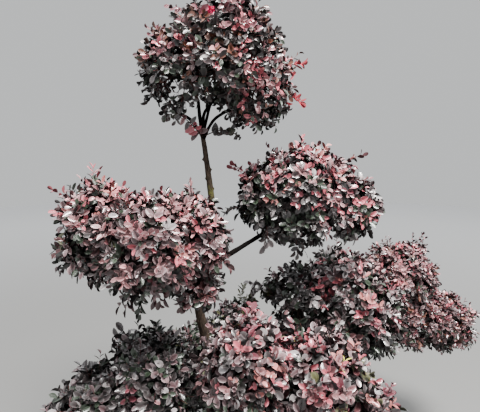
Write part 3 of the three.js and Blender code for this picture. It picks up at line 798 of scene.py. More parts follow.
# For each mass: the shares of the near-black tints painted as shade on its underside, inside it and low on
# its shoots, of the old leaves and of the new ones, how much of it is in new growth and towards which side
# most of that lies, how wide its leaves are and how far they turn to the light. A patch is a place, its
# reach and the shares of the tints that the shoots round it take, on their new leaves or on all of them;
# patches of near-black tints are painted shade.
USUAL_FOLIAGE = {
    "half_width": 0.28,
    "lift": 0.5,
    "towards": (0.2, -0.5, 0.8),
    "new_patches": (),
    "old_patches": (),
}
FOLIAGE = {
    "foliage_top": {
        "half_width": 0.27,
        "lift": 0.25,
        "painted_shade": {"painted shade plum": 6, "deep green": 4, "plum black": 2},
        "old": {
            "plum black": 33, "deep green": 10, "dusk plum": 16, "oxblood": 10,
            "wine": 5, "bronze": 14, "sheen silver": 12,
        },
        "new": {"rose": 4, "dusty rose": 2, "wine": 7, "bronze": 6},
        "flush": 0.2,
        "towards": (0.75, -0.3, 0.5),
        "new_patches": (
            ([119, -122, 1496], 85, {"rose": 5, "salmon": 2, "pale pink": 3, "dusty rose": 4}),
            ([206, -60, 1540], 75, {"rose": 3, "wine": 3, "dusty rose": 4, "bronze": 3, "pale pink": 2}),
            ([-143, -118, 1614], 48, {"rose": 3, "dusty rose": 3, "wine": 2}),
            ([60, -133, 1690], 50, {"rose": 4, "dusty rose": 4, "wine": 3}),
        ),
        "old_patches": (
            ([-24, -164, 1603], 58, {"bronze": 8, "deep green": 1, "wine": 2}),
            ([118, -117, 1660], 42, {"bronze": 6, "wine": 3}),
            ([10, -100, 1700], 60, {"wine": 5, "bronze": 5, "oxblood": 4, "plum black": 3}),
            ([-158, -74, 1655], 30, {"bronze": 4, "wine": 2}),
            ([190, -70, 1670], 80, {"wine": 4, "bronze": 4, "plum black": 6, "painted shade plum": 2}),
            ([-3, -184, 1541], 42, {"sheen silver": 7, "lilac plum": 3}),
            ([-70, -150, 1525], 60, {"plum black": 6, "painted shade plum": 4, "lilac plum": 2}),
            ([-158, -101, 1493], 60, {"deep green": 6, "painted shade plum": 3}),
            ([80, -130, 1605], 65, {"painted shade plum": 5, "plum black": 5, "sheen silver": 1}),
        ),
    },
    "foliage_left": {
        "half_width": 0.255,
        "painted_shade": {"oxblood": 6, "painted shade plum": 5, "deep green": 3},
        "old": {
            "plum black": 16, "deep green": 14, "oxblood": 16, "dusk plum": 27,
            "lilac plum": 18, "sheen silver": 2, "olive": 0.4,
        },
        "new": {"rose": 3, "salmon": 1, "dusty rose": 8, "wine": 4, "pale pink": 3},
        "flush": 0.4,
        "towards": (0.0, -0.2, 1.0),
        "new_patches": (
            ([-295, -181, 1228], 80, {"rose": 5, "dusty rose": 6, "pale pink": 3, "salmon": 1}),
            ([-67, -229, 1151], 90, {"rose": 3, "salmon": 2, "dusty rose": 6, "pale pink": 4}),
            ([-233, -306, 1036], 45, {"pale pink": 3, "dusty rose": 4}),
            ([-177, -318, 1065], 30, {"rose": 3, "salmon": 2}),
        ),
        "old_patches": (
            ([-246, -299, 1121], 70, {"lilac plum": 6, "sheen silver": 1, "dusty rose": 4}),
            ([-32, -218, 1000], 90, {"oxblood": 5, "wine": 3, "dusk plum": 3}),
            ([-410, -206, 1031], 75, {"lilac plum": 6, "dusk plum": 3, "dusty rose": 2, "olive": 1}),
            ([-356, -244, 1108], 40, {"deep green": 5, "lilac plum": 1}),
        ),
    },
    "foliage_right": {
        "half_width": 0.29,
        "painted_shade": {"painted shade plum": 7, "deep green": 4, "plum black": 2},
        "old": {
            "plum black": 30, "deep green": 17, "dusk plum": 17,
            "lilac plum": 14, "sheen silver": 20, "olive": 2,
        },
        "new": {"rose": 7, "salmon": 2, "dusty rose": 4, "wine": 5, "pale pink": 1},
        "flush": 0.36,
        "towards": (0.6, -0.1, 0.8),
        "new_patches": (
            ([191, 30, 1282], 85, {"rose": 5, "salmon": 2, "dusty rose": 5, "pale pink": 2}),
            ([262, 80, 1330], 70, {"rose": 6, "salmon": 1, "dusty rose": 4, "wine": 1}),
            ([350, 60, 1290], 80, {"rose": 4, "salmon": 2, "dusty rose": 5, "wine": 2}),
            ([60, 60, 1240], 50, {"rose": 3, "dusty rose": 2, "wine": 1}),
            ([382, -2, 1192], 80, {"rose": 3, "wine": 3, "dusty rose": 4, "pale pink": 2}),
            ([472, 15, 1143], 44, {"rose": 5, "salmon": 2, "wine": 2}),
        ),
        "old_patches": (
            ([167, -2, 1183], 65, {"sheen silver": 5, "lilac plum": 5, "plum black": 3}),
            ([401, 2, 1120], 35, {"sheen silver": 5, "lilac plum": 2}),
            ([240, -10, 1110], 100, {"painted shade plum": 4, "deep green": 3, "plum black": 3}),
        ),
    },
    "foliage_low_front": {
        "half_width": 0.3,
        "painted_shade": {"painted shade plum": 6, "oxblood": 4, "deep green": 3},
        "old": {
            "plum black": 14, "oxblood": 8, "dusk plum": 24, "lilac plum": 32,
            "sheen silver": 16, "olive": 4, "yellow": 0.3,
        },
        "new": {"rose": 6, "salmon": 2, "dusty rose": 5, "wine": 4},
        "flush": 0.4,
        "new_patches": (
            ([229, -168, 787], 75, {"rose": 5, "dusty rose": 3, "wine": 2}),
            ([150, -277, 760], 50, {"rose": 5, "salmon": 2, "dusty rose": 3}),
            ([3, -275, 751], 24, {"rose": 5, "salmon": 1}),
            ([19, -198, 860], 36, {"dusty rose": 4, "wine": 2}),
            ([349, -257, 721], 60, {"rose": 4, "wine": 4, "dusty rose": 3}),
        ),
    },
    "foliage_low_left": {
        "lift": 0.15,
        "painted_shade": {"painted shade plum": 6, "plum black": 4, "deep green": 3},
        "old": {
            "plum black": 46, "painted shade plum": 8, "deep green": 20,
            "dusk plum": 18, "lilac plum": 3, "sheen silver": 5,
        },
        "new": {"dusty rose": 3, "wine": 2},
        "flush": 0.05,
        "new_patches": (([-440, -130, 560], 30, {"rose": 2, "dusty rose": 3}),),
    },
    "foliage_low_rear": {
        "painted_shade": {"painted shade plum": 5, "deep green": 5},
        "old": {
            "plum black": 26, "deep green": 26, "dusk plum": 18,
            "lilac plum": 8, "olive": 14, "sheen silver": 6,
        },
        "new": {"dusty rose": 2, "wine": 3},
        "flush": 0.12,
    },
    "foliage_low_right": {
        "painted_shade": {"painted shade plum": 7, "deep green": 4},
        "old": {"plum black": 18, "deep green": 13, "dusk plum": 22, "lilac plum": 19, "sheen silver": 28},
        "new": {"rose": 6, "salmon": 2, "dusty rose": 4, "wine": 4},
        "flush": 0.3,
        "towards": (0.75, -0.3, 0.5),
        "new_patches": (
            ([389, 193, 819], 50, {"rose": 4, "salmon": 1, "dusty rose": 4, "wine": 2}),
            ([500, 138, 838], 65, {"rose": 4, "salmon": 2, "dusty rose": 4, "pale pink": 3}),
            ([491, 87, 713], 50, {"wine": 4, "rose": 2, "dusty rose": 4}),
            ([458, 268, 930], 50, {"rose": 3, "pale pink": 2, "dusty rose": 3}),
        ),
        "old_patches": (
            ([221, 162, 830], 100, {"painted shade plum": 5, "deep green": 4, "plum black": 4}),
            ([464, 210, 889], 60, {"sheen silver": 5, "lilac plum": 3}),
        ),
    },
    "foliage_far_right": {
        "half_width": 0.26,
        "painted_shade": {"painted shade plum": 5, "oxblood": 4, "deep green": 3},
        "old": {
            "plum black": 8, "oxblood": 16, "dusk plum": 24, "lilac plum": 20,
            "bronze": 10, "wine": 6, "dusty rose": 8,
        },
        "new": {"rose": 3, "dusty rose": 8, "wine": 5, "salmon": 1, "pale pink": 3},
        "flush": 0.6,
        "towards": (0.3, -0.3, 0.9),
        "new_patches": (([679, 344, 868], 95, {"rose": 3, "dusty rose": 6, "pale pink": 2}),),
    },
}
FOLIAGE = {name: {**USUAL_FOLIAGE, **look} for name, look in FOLIAGE.items()}
MIDRIB_FADE = 16.0
VEIN_SLANT = 0.5
# A whole turn of the side veins' wave, in radians, rounded.
VEIN_TURN = 6.2832
VEIN_FROM = 0.72
VEIN_GAIN = 2.2
# The rim: a pale edge painted as a highlight, where a leaf's edge catches the light.
RIM_FROM = 0.38
RIM_FADE = 14.0
BLOOM_AND_HIGHLIGHT_POWER = 0.44
# How dark a leaf's underside is painted, as painted shade, as a share of its colour.
UNDERSIDE_PAINTED_SHADE = 0.45
LEAF_ROUGHNESS = (0.34, 0.85)
LEAF_SHEEN = {"Specular IOR Level": 0.5, "Coat Roughness": 0.1}
VEIN_BUMP = (0.5, 0.5 * MM)


def leaf_markings():
    """The node group that draws a leaf from its own map, as a mask of the paler places and a height: a pale
    rim that is a painted highlight, and between the midrib and the side veins a bloom that grows towards the
    edges, partly the leaf's dusty hairs and partly painted sheen."""
    sizes = {"Side Veins": 6.0, "Bloom And Sheen Share": 0.38}
    group, given, put_out = new_group("leaf markings", sizes, ("Pale", "Height"))

    def worked(operation, *values):
        """The result of a sum in this group."""
        return sum_of(group, operation, *values)

    place = add_node(group, "UVMap", {}, uv_map="leaf").outputs["UV"]
    parts = add_node(group, "SeparateXYZ", {"Vector": place}).outputs
    aside = worked("ABSOLUTE", worked("SUBTRACT", parts["X"], 0.5))
    midrib = worked("MAXIMUM", worked("SUBTRACT", 1.0, worked("MULTIPLY", aside, MIDRIB_FADE)), 0.0)
    slanted = worked("SUBTRACT", parts["Y"], worked("MULTIPLY", aside, VEIN_SLANT))
    turns = worked("MULTIPLY", slanted, given["Side Veins"])
    wave = worked("SINE", worked("MULTIPLY", turns, VEIN_TURN))
    side_vein = worked("MULTIPLY", worked("MAXIMUM", worked("SUBTRACT", wave, VEIN_FROM), 0.0), VEIN_GAIN)
    vein = worked("MAXIMUM", midrib, side_vein)
    # The pale rim is a painted highlight.
    past_rim = worked("MAXIMUM", worked("SUBTRACT", aside, RIM_FROM), 0.0)
    rim = worked("MINIMUM", worked("MULTIPLY", past_rim, RIM_FADE), 1.0)
    # The bloom between the veins is partly the leaf's dusty hairs and partly painted sheen.
    between = worked("MULTIPLY", worked("MULTIPLY", aside, 2.0), worked("SUBTRACT", 1.0, vein))
    bloom_and_sheen = worked("MULTIPLY", between, given["Bloom And Sheen Share"])
    painted_highlight_rim = worked("MULTIPLY", rim, worked("MULTIPLY", given["Bloom And Sheen Share"], 2.0))
    feed(put_out, {"Pale": worked("MAXIMUM", bloom_and_sheen, painted_highlight_rim), "Height": worked("SUBTRACT", 1.0, vein)})
    return group


LEAF_MARKINGS = leaf_markings()


def leaf_material(name, base, bloom_and_sheen, gloss):
    """A leaf of one plain colour: half-glossy above, paler between its veins and at its rim, and dull below.
    The pale tone between the veins is partly the leaf's dusty hairs and partly painted sheen, the pale rim
    is a painted highlight, and the darker underside is painted shade."""
    material, tree, shader = new_material(name + " leaf")
    markings = add_node(tree, "Group", {"Bloom And Sheen Share": bloom_and_sheen}, node_tree=LEAF_MARKINGS).outputs
    below = add_node(tree, "NewGeometry", {}).outputs["Backfacing"]
    # The pale tone is the bloom of dusty hairs with painted sheen, and the rim's painted highlight.
    pale = (*(c**BLOOM_AND_HIGHLIGHT_POWER for c in base[:3]), 1.0)
    # The darker underside is painted shade.
    dark = (*(UNDERSIDE_PAINTED_SHADE * c for c in base[:3]), 1.0)
    above = blended(tree, markings["Pale"], base, pale)
    feed(shader, {"Base Color": blended(tree, below, above, dark)})
    for socket, (upper, lower) in {"Roughness": LEAF_ROUGHNESS, "Coat Weight": (gloss, 0.0)}.items():
        by_side = add_node(tree, "MapRange", {"Value": below, "To Min": upper, "To Max": lower})
        feed(shader, {socket: by_side.outputs["Result"]})
    feed(shader, LEAF_SHEEN)
    add_bump(tree, shader, markings["Height"], *VEIN_BUMP)
    return material


LEAF_MATERIALS = [leaf_material(name, *look) for name, look in TINTS.items()]
# A blade's rows of corners along its length, and how wide it is there as a share of its greatest width.
LEAF_ROWS = (0.1, 0.36, 0.66, 0.9)
LEAF_HALF_WIDTHS = (0.46, 0.95, 0.98, 0.56)
ARCH_SHORTENING = 0.3
CELL_MARGIN = 0.06


def leaf_blades(roots, along, upper, lengths, half_width, fold, arch):
    """Blades at many places at once, as (corners, faces, leaf map).

    Across the blade there are three corners in each row: the midrib and the two edges. With share the row's
    part of the length, a corner lies at root + length * (along * (share - shortening * arch * share^2) +
    across * half width + upper * (fold * half width - arch * share^2)). A root and a tip corner close the
    ends.
    """
    across = np.cross(along, upper)
    share = np.concatenate([[0], np.repeat(LEAF_ROWS, 3), [1]])
    half = np.concatenate([[0], np.repeat(LEAF_HALF_WIDTHS, 3), [0]])
    side = np.concatenate([[0], np.tile([-1, 0, 1], len(LEAF_ROWS)), [0]])
    out, aside = share[None, :, None], (side * half * half_width)[None, :, None]
    fold, arch = fold[:, None, None], arch[:, None, None]
    bend = fold * np.abs(aside) - arch * out**2
    local = along[:, None] * (out - ARCH_SHORTENING * arch * out**2) + across[:, None] * aside
    corners = roots[:, None] + lengths[:, None, None] * (local + upper[:, None] * bend)
    rows = np.arange(len(LEAF_ROWS) - 1)[:, None] * 3 + 1
    walls = [rows + np.array([corner]) for corner in ([0, 1, 4], [0, 4, 3], [1, 2, 5], [1, 5, 4])]
    last = 3 * len(LEAF_ROWS) - 2
    ends = np.array([[0, 2, 1], [0, 3, 2], [last, last + 1, last + 3], [last + 1, last + 2, last + 3]])
    blade = np.concatenate([*walls, ends])
    faces = (blade[None] + len(share) * np.arange(len(roots))[:, None, None]).reshape(-1, 3)
    leaf_map = np.tile(np.stack([0.5 + 0.5 * side, share], axis=1), (len(roots), 1))
    return corners.reshape(-1, 3), faces, leaf_map


def bake_map(leaf_map, tints, corners_each):
    """Each tint's own cell of a square sheet, with every leaf of that tint laid over the same outline."""
    cells = math.ceil(math.sqrt(len(TINTS)))
    cell = np.stack([tints % cells, tints // cells], axis=1).repeat(corners_each, axis=0)
    return (cell + CELL_MARGIN + (1 - 2 * CELL_MARGIN) * leaf_map) / cells


def dress_leaves(name, roots, along, upper, lengths, tints, half_width, fold, arch):
    """Makes one piece of many leaves, each in its own tint."""
    corners, faces, leaf_map = leaf_blades(roots, along, upper, lengths, half_width, fold, arch)
    maps = {"leaf": leaf_map, "OFBake": bake_map(leaf_map, tints, len(corners) // len(roots))}
    tint = np.repeat(tints, len(faces) // len(roots))
    dress(name + "_leaves", corners, faces, LEAF_MATERIALS, [name], tint=tint, maps=maps)


def dealt(shares, chances):
    """Indices of tints, dealt in proportion to their shares."""
    names, weights = list(shares), np.cumsum(np.array(list(shares.values()), float))
    picked = np.searchsorted(weights / weights[-1], chances, side="right").clip(0, len(names) - 1)
    return np.array([TINT_NAMES.index(name) for name in names])[picked]


def in_patches(tips, patches, salt):
    """The tint that a patch gives each shoot, or -1: its chance falls off by the exponential of the square
    of the distance from the patch's middle over its reach."""
    tints, number = np.full(len(tips), -1), np.arange(len(tips))
    for n, (middle, reach, shares) in enumerate(patches):
        away = np.linalg.norm(tips - MM * np.array(middle, float), axis=1) / (MM * reach)
        taken = chance(number, salt + n) < np.exp(-(away**2))
        tints = np.where(taken, dealt(shares, chance(number, salt + n + 0.5)), tints)
    return tints


# On a shoot and on a twig: how far apart leaves stand, how many there are at most, and the bare share of
# the foot. Leaves on twigs are numbered from a number past those on the shoots.
SHOOT_LEAVES = {"spacing": 8.5 * MM, "most": 9, "bare": 0.12}
TWIG_LEAVES = {"spacing": 14 * MM, "most": 6, "bare": 0.3}
FEWEST_LEAVES = 3
FIRST_TWIG_LEAF = 100000


def leaf_places(curves, spacing, most, bare):
    """Where leaves stand on many curves: evenly from the bare share of each to its tip. Gives the curve's
    number, the leaf's number on it, its share of the way, its place and the curve's direction there."""
    length = path_lengths(curves)[:, -1]
    number = np.clip(np.round(length * (1 - bare) / spacing), FEWEST_LEAVES, most)
    curve = np.repeat(np.arange(len(curves)), most)
    k = np.tile(np.arange(most), len(curves))
    kept = k < number[curve]
    curve, k = curve[kept], k[kept]
    share = (k + 1) / number[curve]
    return curve, k, share, *on_curves(curves, curve, bare + (1 - bare) * share)


# How much of its rise the outward direction keeps, and how much the other two directions of light weigh.
OUTWARD_RISE = 0.3
AWAY_WEIGHT = 0.5
ABOVE_WEIGHT = 0.7


def light_at(roots, outward):
    """Where most light comes to leaves from: outwards, away from the trunk and above."""
    away = unit(roots * [1, 1, 0])
    return unit(outward * [1, 1, OUTWARD_RISE] + AWAY_WEIGHT * away + [0, 0, ABOVE_WEIGHT])


# A leaf's splay from its shoot, in degrees: at the foot, how much less it is at the tip, and how far it
# varies. The other spreads are of a leaf's turn round the shoot, in radians, and of its face.
SPLAY_AT_FOOT = 72
SPLAY_LOST = 44
SPLAY_SPREAD = 30
TURN_SPREAD = 1.5
FACE_SPREAD = 1.1
# How much more a leaf turns to the light on a shoot that hangs straight down.
HANGING_TURN = 2.0


def leaf_poses(look, roots, slope, k, share, phase, outward, leaf_id, salt):
    """The directions along leaves and out of their upper faces.

    Leaves stand on two sides of their shoot by turns, splayed less and less towards its tip, with their
    upper faces to the tip: along = cos(splay) * slope + sin(splay) * side, upper = sin(splay) * slope -
    cos(splay) * side. Each then turns its upper face some way to the light, the more so on a shoot that
    hangs.
    """
    helper = unit(np.cross(slope, unit(outward + 0.3 * np.array([[0, 0, 1.0]]))))
    other = np.cross(slope, helper)
    turn = (phase + np.pi * k + TURN_SPREAD * (chance(leaf_id, salt + 0.11) - 0.5))[:, None]
    side = np.cos(turn) * helper + np.sin(turn) * other
    splay = SPLAY_AT_FOOT - SPLAY_LOST * share**2 + SPLAY_SPREAD * (chance(leaf_id, salt + 0.22) - 0.5)
    splay = np.radians(splay)[:, None]
    along = unit(np.cos(splay) * slope + np.sin(splay) * side)
    to_light = look["lift"] * light_at(roots, outward) * (1 + HANGING_TURN * np.maximum(0, -slope[:, 2:]))
    turned = FACE_SPREAD * jitter(leaf_id, salt, (0.33, 0.44, 0.55))
    return along, square_to(np.sin(splay) * slope - np.cos(splay) * side + to_light + turned, along)


# How new growth and painted shade fall on the shoots: new growth drifts in waves over the mass, a shoot is
# painted as shaded where it points lower than a share of upwards, and the other values are chances or shares
# of a shoot.
DRIFT_DEPTH = 0.6
DRIFT_WAVES = (37.0, 29.0, 31.0)
SHADED_BELOW = 0.12
SHADED_SHARE = 0.95
SHADED_POWER = 0.6
FRESH_IN_SHADE = 0.3
DARK_IN_SHADE = 0.85
PAINTED_SHADE_FOOT = 0.65
MIXED_LEAVES = 0.4
YOUNG_FROM = 0.3
YOUNG_SPREAD = 0.4


def shoot_tints(look, tips, outward, runaway, curve, share, leaf_id, salt):
    """Each leaf's tint on the shoots, and whether it is a new leaf.

    A shoot is dealt one old and one new tint. By chance it is fresh, the more so towards the lit side, in a
    patch of new growth and where it has run away, or shaded, the more so towards the underside. Some leaves
    mix in another old tint, most of those near the foot or on a shaded shoot take a near-black tint as
    painted shade, and those near the end of a fresh shoot are new.
    """
    number, towards = np.arange(len(tips)), unit(np.array(look["towards"]))
    drift = DRIFT_DEPTH * np.sin(tips @ np.array(DRIFT_WAVES) + 5 * salt)
    lit = look["flush"] * (0.5 + 0.5 * (outward @ towards)) ** 2 * (1 + drift)
    old_patch = in_patches(tips, look["old_patches"], salt + 5.1)
    new_patch = in_patches(tips, look["new_patches"], salt + 6.1)
    old = np.where(old_patch >= 0, old_patch, dealt(look["old"], chance(number, salt + 0.99)))
    new = np.where(new_patch >= 0, new_patch, dealt(look["new"], chance(number, salt + 1.11)))
    fresh = ((chance(number, salt + 0.88) < lit) & (old_patch < 0)) | (new_patch >= 0) | runaway
    painted_shade = SHADED_SHARE * np.maximum(0, SHADED_BELOW - outward[:, 2]) ** SHADED_POWER
    shaded = (chance(number, salt + 0.92) < painted_shade) & (new_patch < 0)
    fresh &= ~shaded | (chance(number, salt + 0.93) < FRESH_IN_SHADE)
    mixed = (chance(leaf_id, salt + 1.22) < MIXED_LEAVES) & (old_patch < 0)[curve]
    tints = np.where(mixed, dealt(look["old"], chance(leaf_id, salt + 1.33)), old[curve])
    # Painted shade: near-black tints on shaded shoots and near the foot of every shoot, for the dark between
    # tufts.
    dark = shaded[curve] & (chance(leaf_id, salt + 1.39) < DARK_IN_SHADE)
    dark |= share < PAINTED_SHADE_FOOT * chance(leaf_id, salt + 1.37)
    tints = np.where(dark, dealt(look["painted_shade"], chance(leaf_id, salt + 1.36)), tints)
    young = fresh[curve] & (share > YOUNG_FROM + YOUNG_SPREAD * chance(curve, salt + 1.44))
    return np.where(young, new[curve], tints), young


# A leaf's length is its mass's leaf length times these: less towards the end of a shoot, the more so on a
# long one, and for each leaf its own share from the least on.
FOOT_LEAF_SIZE = 1.1
END_LEAF_LOSS = 0.34
END_LEAF_POWER = 1.5
LONG_SHOOT = 90 * MM
SHORT_SHOOT_SHARE = 0.4
SHORT_SHOOT_GAIN = 1.12
LONG_SHOOT_LOSS = 0.26
LEAST_LENGTH = 0.72
LENGTH_SPREAD = 0.46
NEW_LEAF_SIZE = 0.9
LEAST_TWIG_LENGTH = 0.85
LEAST_STRAY_LENGTH = 0.75
OTHER_LENGTH_SPREAD = 0.4
# The leaves of a stray are shorter in a new tint, and most of them take its tint.
NEW_TINTS = ("wine", "rose", "dusty rose", "salmon", "pale pink")
NEW_STRAY_TINTED = 0.8
NEW_STRAY_SIZE = 0.76
OLD_STRAY_SIZE = 0.95
PHASE_SPREAD = 0.9
RUNAWAY_FROM = 1.13
FURTHEST_LEAF = 1.2
OPEN_SPOT_LOSS = 0.75


def shoot_leaves(name, shoots, hubs, salt):
    """The leaves on one mass's shoots, long on the lower part and short at the ends, as (roots, along,
    upper, lengths, tints, numbers). Those past the clipped outline or in a bare spot are left out."""
    look, full, strays = FOLIAGE[name], MASSES[name]["leaf"] * MM, MASSES[name]["strays"]
    curve, k, share, roots, slope = leaf_places(shoots, **SHOOT_LEAVES)
    leaf_id = curve * SHOOT_LEAVES["most"] + k
    outward = unit(shoots[:, -1] - hubs)
    phase = PHASE_SPREAD * (chance(curve, salt + 0.66) - 0.5)
    along, upper = leaf_poses(look, roots, slope, k, share, phase, outward[curve], leaf_id, salt)
    runaway = lobe_shares(shoots[:, -1], LOBES[name]).min(axis=1) > RUNAWAY_FROM
    tints, young = shoot_tints(look, shoots[:, -1], outward, runaway, curve, share, leaf_id, salt)
    long_shoot = np.clip(path_lengths(shoots)[:, -1] / LONG_SHOOT, SHORT_SHOOT_SHARE, 1)[curve]
    lengths = full * (FOOT_LEAF_SIZE - END_LEAF_LOSS * share**END_LEAF_POWER)
    lengths = lengths * (SHORT_SHOOT_GAIN - LONG_SHOOT_LOSS * long_shoot * share)
    lengths = lengths * (LEAST_LENGTH + LENGTH_SPREAD * chance(leaf_id, salt + 0.77))
    lengths = np.where(young, lengths * NEW_LEAF_SIZE, lengths)
    first_stray = len(shoots) - STRAY_SHOOTS * len(strays)
    for n, (_, tint) in enumerate(strays):
        in_stray = (curve - first_stray) // STRAY_SHOOTS == n
        old = tint not in NEW_TINTS
        tints[in_stray & (old | (chance(leaf_id, salt + 1.5) < NEW_STRAY_TINTED))] = TINT_NAMES.index(tint)
        varied = LEAST_STRAY_LENGTH + OTHER_LENGTH_SPREAD * chance(leaf_id, salt + 0.77)
        lengths = np.where(in_stray, full * (OLD_STRAY_SIZE if old else NEW_STRAY_SIZE) * varied, lengths)
    ends = lobe_shares(roots + along * lengths[:, None], LOBES[name]).min(axis=1)
    open_here = OPEN_SPOT_LOSS * openness(roots, OPEN_SPOTS.get(name, ()))
    bare = np.maximum(open_here, openness(roots, LEAFLESS_SPOTS.get(name, ())))
    alive = chance(leaf_id, salt + 1.41) >= bare
    kept = (((ends < FURTHEST_LEAF) | runaway[curve]) & alive) | (curve >= first_stray)
    return [part[kept] for part in (roots, along, upper, lengths, tints, leaf_id)]


def twig_leaves(name, twigs, hubs, salt):
    """The few leaves inside one mass, on its twigs, near black as painted shade, given like those on the
    shoots.
    """
    look, full, spots = FOLIAGE[name], MASSES[name]["leaf"] * MM, OPEN_SPOTS.get(name, ())
    leafy = chance(np.arange(len(twigs)), salt + 1.5) >= openness(twigs[:, -1], spots)
    twigs, hubs = twigs[leafy], hubs[leafy]
    curve, k, share, roots, slope = leaf_places(twigs, **TWIG_LEAVES)
    leaf_id = FIRST_TWIG_LEAF + curve * TWIG_LEAVES["most"] + k
    outward = unit(twigs[:, -1] - hubs)[curve]
    phase = 2 * np.pi * chance(curve, salt + 1.55)
    along, upper = leaf_poses(look, roots, slope, k, 0 * share, phase, outward, leaf_id, salt)
    lengths = full * (LEAST_TWIG_LENGTH + OTHER_LENGTH_SPREAD * chance(leaf_id, salt + 1.66))
    tints = dealt(look["painted_shade"], chance(leaf_id, salt + 1.77))
    kept = chance(leaf_id, salt + 1.79) >= openness(roots, (*spots, *LEAFLESS_SPOTS.get(name, ())))
    return [part[kept] for part in (roots, along, upper, lengths, tints, leaf_id)]


LEAF_FOLD = 0.55
LEAST_FOLD = 0.3
FOLD_SPREAD = 1.4
LEAF_ARCH = 0.2
LEAST_ARCH = -0.4
ARCH_SPREAD = 1.9
FIRST_SALT = 3.1
SALT_STEP = 7.3


def make_leaves(name, wood, salt):
    """One mass's leaves: those on its shoots and those inside on its twigs, each folded and arched by its
    own chance."""
    outer = shoot_leaves(name, wood["shoots"], wood["shoot_hubs"], salt)
    inner = twig_leaves(name, wood["twigs"], wood["twig_hubs"], salt)
    *leaves, leaf_id = map(np.concatenate, zip(outer, inner))
    fold = LEAF_FOLD * (LEAST_FOLD + FOLD_SPREAD * chance(leaf_id, salt + 1.88))
    arch = LEAF_ARCH * (LEAST_ARCH + ARCH_SPREAD * chance(leaf_id, salt + 1.99))
    dress_leaves(name, *leaves, FOLIAGE[name]["half_width"], fold, arch)


for order, name in enumerate(MASSES):
    salt = FIRST_SALT + order * SALT_STEP
    wood = grow(name, salt)
    make_twigs(name, wood)
    make_leaves(name, wood, salt)

# The fork's shoots: two fine arching sprays that spring from the fork below the top cushion, with a row of
# round leaves hanging on each side. The right one is painted near black as the shade under the top cushion,
# the left one in new rose growth.
FORK_SHOOTS = {
    "shoot_fork_right": {
        "points": ([-46, -5, 1372], [-8, -32, 1384], [30, -46, 1386], [58, -50, 1364]),
        "leaves": 26,
        "length": 21 * MM,
        "width": 0.78,
        "from": 0.3,
        "front": (0.1, -1.0, -0.4),
        "tints": ("painted shade plum", "painted shade plum", "deep green", "painted shade plum"),
    },
    "shoot_fork_left": {
        "points": ([-54, -4, 1370], [-84, -28, 1406], [-124, -42, 1434], [-158, -44, 1426]),
        "leaves": 22,
        "length": 31 * MM,
        "width": 0.5,
        "from": 0.04,
        "front": (0.1, -1.0, 0.2),
        "tints": (
            *("oxblood", "rose", "rose", "plum black", "dusty rose"),
            *("plum black", "deep green", "plum black", "deep green"),
        ),
    },
}
FORK_SHOOT_RADII = (2.0 * MM, 0.9 * MM)
FORK_SHOOT_RINGS = 40
FORK_SHOOT_SIDES = 8
DROOP = (0, -0.15, -0.45)
FORWARD = 0.5
SIDEWAYS = 0.8
FACING_SPREAD = 0.9
PLACE_SPREAD = 0.06
# A leaf's size at the foot, what it loses on the way to the tip, and its own share from the least on. Its
# bend, which is its fold and its arch, is the least and a spread too.
FORK_FOOT_SIZE = 1.15
FORK_SIZE_LOSS = 0.65
FORK_LEAST_LENGTH = 0.65
FORK_LENGTH_SPREAD = 0.6
FORK_LEAST_BEND = 0.25
FORK_BEND_SPREAD = 0.5


def make_fork_shoot(name, shoot, salt):
    """One arching spray: a thin tube, and leaves that stand above and below it by turns and droop, with
    their upper faces to the front."""
    spine = smooth_path(MM * np.array(shoot["points"], float), FORK_SHOOT_RINGS)
    radii = tapered(spine[None], FORK_SHOOT_RADII)
    corners, faces, straight = tube_surface(spine[None], radii, FORK_SHOOT_SIDES)
    dress(name + "_twig", corners, faces, [TWIG_BARK], [name], straight)
    k = np.arange(shoot["leaves"])
    share = np.linspace(shoot["from"], 1, len(k)) + PLACE_SPREAD * (chance(k, salt + 5) - 0.5)
    at = np.round((len(spine) - 1) * np.clip(share, 0, 1)).astype(int)
    slope = unit(np.gradient(spine, axis=0))[at]
    front = unit(np.array([shoot["front"]]) + FACING_SPREAD * jitter(k, salt, (1, 2, 3)))
    side = unit(np.cross(slope, front)) * np.where(k % 2 == 0, 1, -1)[:, None]
    along = FORWARD * slope + SIDEWAYS * side + np.array([DROOP])
    along = unit(along + FACE_SPREAD * jitter(k, salt, (6, 7, 8)))
    upper = square_to(front, along)
    lengths = shoot["length"] * (FORK_FOOT_SIZE - FORK_SIZE_LOSS * k / len(k))
    lengths = lengths * (FORK_LEAST_LENGTH + FORK_LENGTH_SPREAD * chance(k, salt))
    bend = FORK_LEAST_BEND + FORK_BEND_SPREAD * chance(k, salt + 4)
    tints = np.array([TINT_NAMES.index(tint) for tint in shoot["tints"]])[k * len(shoot["tints"]) // len(k)]
    dress_leaves(name, spine[at], along, upper, lengths, tints, shoot["width"] / 2, bend, bend)


for order, (name, shoot) in enumerate(FORK_SHOOTS.items()):
    make_fork_shoot(name, shoot, order)

# The blossom: one small crimson tuft high on the front of the top cushion, of a few flowers that each have
# four ribbon petals.
BLOSSOM_PLACE = MM * np.array([-14.0, -150.0, 1685.0])
PETAL_TONE = colour(180, 0, 74)
FLOWERS = 18
FLOWER_SPREAD = 2 * MM
PETALS_EACH = 4
PETAL_LENGTH = 10 * MM
PETAL_HALF_WIDTH = 0.19
PETAL_CURL = 0.35
# How far a petal leans forward, how long it is and how much of the curl it has: each the least and a
# spread.
PETAL_LEAN = (0.4, 1.4)
PETAL_SIZES = (0.8, 0.4)
PETAL_CURLS = (0.4, 1.0)


